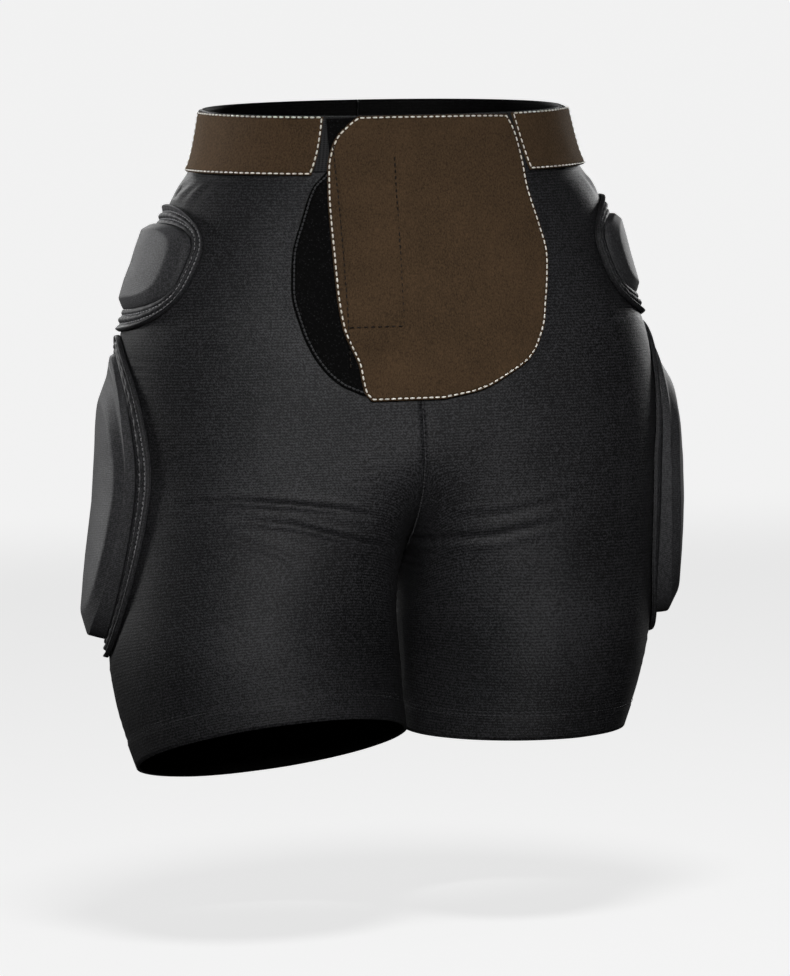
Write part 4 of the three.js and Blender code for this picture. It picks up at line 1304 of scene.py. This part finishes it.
def makePadBlock(pad, side, word):
    sections = roundedSections(pad["sections"], pad["corner"])[::-1]
    steps = pad["steps"]
    square = pad["inner"][2:]
    spots = [padRing(pad, side, (hd, hh, *square), steps, back, up) for hd, hh, back, up, _, _ in sections]
    footRise, wallRise = pad["sections"][0][4], pad["sections"][1][4]

    def face(r, c):
        point = spots[r][c][0]
        rise, lean = sections[r][4:]
        climb = clamp((rise - footRise) / (wallRise - footRise))
        tilt = pad["tilt"] * (point.z - pad["z"]) * climb
        place, width = padCover["puckerRise"]
        turns = steps // padCover["puckerEvery"]
        pucker = padCover["puckerHeight"] * math.sin(2 * math.pi * c / steps * turns) * bump(rise - place, width)
        return (rise * pad["stand"][side] + lean * (point.y - pad["y"]) + tilt
                + padCover["soft"] * noise.noise(point / padCover["softSize"]) + pucker)

    back, up = sections[0][2:4]
    hub = fromSide(side, pad["y"] + back, pad["z"] + up)
    piece, _, _ = makeSlab(f"{pad['name']}_pad_cover_{word}", spots, lambda r, c: pad["lay"], face, padCloth,
                           closed=True, hub=hub, hubHeights=(pad["lay"], pad["crown"] * pad["stand"][side]))
    layCloth(piece.data, pad)
    dress(piece, "pad_fabric", f"{pad['name']}_pad_{word}")


# Height of the quilted frame at a share of the way in: a corded rim, two sewn rows and a swell between them.
def frameProfile(t, across):
    height, place, width = padFrame["cord"]
    rim = height * bump(t - place, width)
    height, width = padFrame["row"]
    rows = sum(height * bump(t - place, width) for place in padFrame["rows"])
    height, place, width = padFrame["swell"]
    swell = height * bump(t - place, width)
    height, width, _ = padFrame["pucker"]
    pucker = height * math.sin(across) * sum(bump(t - place, width) for place in padFrame["rows"])
    edge = edgeRound(t * padFrame["width"], padFrame["rim"], padFrame["round"])
    return (padFrame["base"] + rim - rows + swell + padFrame["climb"] * t + pucker) * edge


# How high the frame stands above the form there.
def frameHeight(pad, t, across=0):
    return pad["lay"] + padFrame["thickness"] * padFrame["height"] * frameProfile(t, across)


def frameRing(pad, t):
    return [mix(a, b, t) for a, b in zip(pad["outer"], pad["inner"])]


def makePadFrame(pad, side, word):
    steps = pad["steps"] * 2
    shares = [i / padFrame["rings"] for i in range(padFrame["rings"] + 1)]
    spots = [padRing(pad, side, frameRing(pad, t), steps) for t in shares]

    def face(r, c):
        return frameHeight(pad, shares[r], 2 * math.pi * c / padFrame["pucker"][2])

    piece, length, _ = makeSlab(f"{pad['name']}_pad_frame_{word}", spots, lambda r, c: pad["lay"], face,
                                borderCloth, closed=True)
    dress(piece, "pad_border", f"{pad['name']}_pad_border_{word}")
    for row, t in enumerate(padFrame["rows"]):
        level = frameHeight(pad, t) + padFrame["lift"]
        line = [raised(spot, level) for spot in padRing(pad, side, frameRing(pad, t), padFrame["rowSteps"])]
        makeStitches(f"{pad['name']}_frame_stitches_{word}_{row + 1}", line, greyThread,
                                  padFrame["pitch"], padFrame["length"], padFrame["thread"], closed=True)
    print("  frame", pad["name"], word, round(length))


for side, word in ((-1, "right"), (1, "left")):
    for pad in (hipPad, thighPad):
        makePadBlock(pad, side, word)
        makePadFrame(pad, side, word)
print("pads covered")


# Two rows of stitches round each hem.
def makeHemStitches(side, word):
    for row, offset in enumerate(hem["rows"]):
        height, line = hem["height"] + offset, []
        for i in range(hem["samples"]):
            spot = fromLeg(side, 2 * math.pi * i / hem["samples"], height)
            line.append(raised(spot, shortsRelief(spot[0], side, height) + hem["level"]))
        stitches = makeStitches(f"hem_stitches_{word}_{row + 1}", line, charcoalThread, hem["pitch"],
                                hem["length"], hem["thread"], lift=hem["lift"], closed=True)


for side, word in ((-1, "right"), (1, "left")):
    makeHemStitches(side, word)
print("hems stitched")

# Floor, backdrop and light, in metres. Each lamp has a place, a target, a width, a power and a spread in
# degrees.
studio = {"floorZ": -0.525, "flatRadius": 3.0, "flatSteps": 10, "bend": 1.6, "bendSteps": 16, "topZ": 5,
          "steps": 72, "floorGlow": 0.765, "wallGlow": 0.85, "wallFrom": -0.525, "wallTo": -0.42, "fibre": 25,
          "paper": ("#c4c4c4", "#c8c8c8"), "world": "#ffffff", "worldStrength": 0.03}
lamps = {
    "key_left": ((-2.4, 1.6, 0.6), (0, 0, -0.2), 0.9, 96, 180),
    "cloth_left": ((-2.4, 1.8, 0.6), (0, 0, -0.2), 0.9, 28, 180),
    "front": ((-0.35, -2.6, 0.4), (-0.01, 0, -0.18), 0.45, 1.15, 21),
    "rim_right": ((2.2, 2.3, 0.6), (0, 0, -0.25), 0.9, 48, 180),
    "back": ((-0.6, 2.8, 1.0), (0, 0, -0.25), 1.2, 30, 180),
    "above": ((0.0, -0.4, 2.4), (0, 0, -0.2), 1.2, 3, 180),
    "top_soft": ((0.02, -0.8, 2.0), (0, 0, -0.5), 0.7, 15, 180),
}


# A round sweep of paper: a flat floor that curves up into a wall on every side.
def makeSweep():
    floorZ, radius, bend, steps = (studio[word] for word in ("floorZ", "flatRadius", "bend", "steps"))
    flat, curve = studio["flatSteps"], studio["bendSteps"]
    profile = [(radius * i / flat, floorZ) for i in range(1, flat + 1)]
    for i in range(1, curve + 1):
        angle = math.pi / 2 * i / curve
        profile.append((radius + bend * math.sin(angle), floorZ + bend * (1 - math.cos(angle))))
    profile.append((radius + bend, studio["topZ"]))
    points = [(0, 0, floorZ / millimetre)]
    for reach, z in profile:
        for c in range(steps):
            turn = 2 * math.pi * c / steps
            spot = (reach * math.cos(turn), reach * math.sin(turn), z)
            points.append([part / millimetre for part in spot])
    faces = [(0, 1 + c, 1 + (c + 1) % steps) for c in range(steps)]
    for r in range(len(profile) - 1):
        low, high = 1 + r * steps, 1 + (r + 1) * steps
        faces.extend((low + c, high + c, high + (c + 1) % steps, low + (c + 1) % steps) for c in range(steps))
    material, tree, shader = startMaterial("paper backdrop, matt", {
        "Roughness": 0.9, "Specular IOR Level": 0.0, "Emission Color": linear("#ffffff")})
    finishSurface(tree, shader, grain(tree, studio["fibre"]), studio["paper"])
    place = addNode(tree, "ShaderNodeNewGeometry")
    height = addNode(tree, "ShaderNodeSeparateXYZ", {"Vector": place.outputs["Position"]})
    glow = addNode(tree, "ShaderNodeMapRange", {
        "Value": height.outputs["Z"], "From Min": studio["wallFrom"], "From Max": studio["wallTo"],
        "To Min": studio["floorGlow"], "To Max": studio["wallGlow"]}, interpolation_type="SMOOTHSTEP")
    tree.links.new(glow.outputs[0], shader.inputs["Emission Strength"])
    sweep = makeObject("paper_sweep", points, faces, material)
    sweep.visible_diffuse = sweep.visible_glossy = sweep.visible_shadow = False


# A round lamp that lights one set of pieces and doesn't show itself.
def addLight(name, pieces, place, target, width, power, spread):
    lamp = bpy.data.lights.new(name, "AREA")
    lamp.shape = "DISK"
    lamp.size = width
    lamp.energy = power
    lamp.spread = math.radians(spread)
    holder = bpy.data.objects.new(name, lamp)
    holder.location = place
    holder.rotation_euler = (Vector(target) - Vector(place)).to_track_quat("-Z", "Y").to_euler()
    bpy.context.collection.objects.link(holder)
    holder.visible_camera = False
    holder.light_linking.receiver_collection = pieces


# A set of pieces that some lamps are kept for.
def litSet(name, words):
    pieces = bpy.data.collections.new(name)
    for piece in bpy.context.collection.objects:
        if piece.type == "MESH" and any(word in piece.name for word in words):
            pieces.objects.link(piece)
    return pieces


# The charcoal cloth and the raised pads and wings have lamps of their own, and the paper has one from above,
# which draws the shadow on it.
def lightStudio():
    cloth = litSet("cloth", ("shorts", "band", "plush", "overlock", "flap", "hook", "hem", "centre"))
    raisedParts = litSet("pads and wings", ("pad", "frame", "wing"))
    paper = litSet("paper", ("paper",))
    world = bpy.data.worlds.new("studio air")
    world.use_nodes = True
    sky = world.node_tree.nodes["Background"]
    sky.inputs["Color"].default_value = linear(studio["world"])
    sky.inputs["Strength"].default_value = studio["worldStrength"]
    bpy.context.scene.world = world
    addLight("key_left", raisedParts, *lamps["key_left"])
    addLight("cloth_left", cloth, *lamps["cloth_left"])
    for word, pieces in (("cloth", cloth), ("raised", raisedParts)):
        for name in ("front", "rim_right", "back", "above"):
            addLight(f"{name}_{word}", pieces, *lamps[name])
    addLight("top_soft", paper, *lamps["top_soft"])
    bpy.context.scene.view_settings.view_transform = "Standard"


makeSweep()
lightStudio()
print("studio lit")
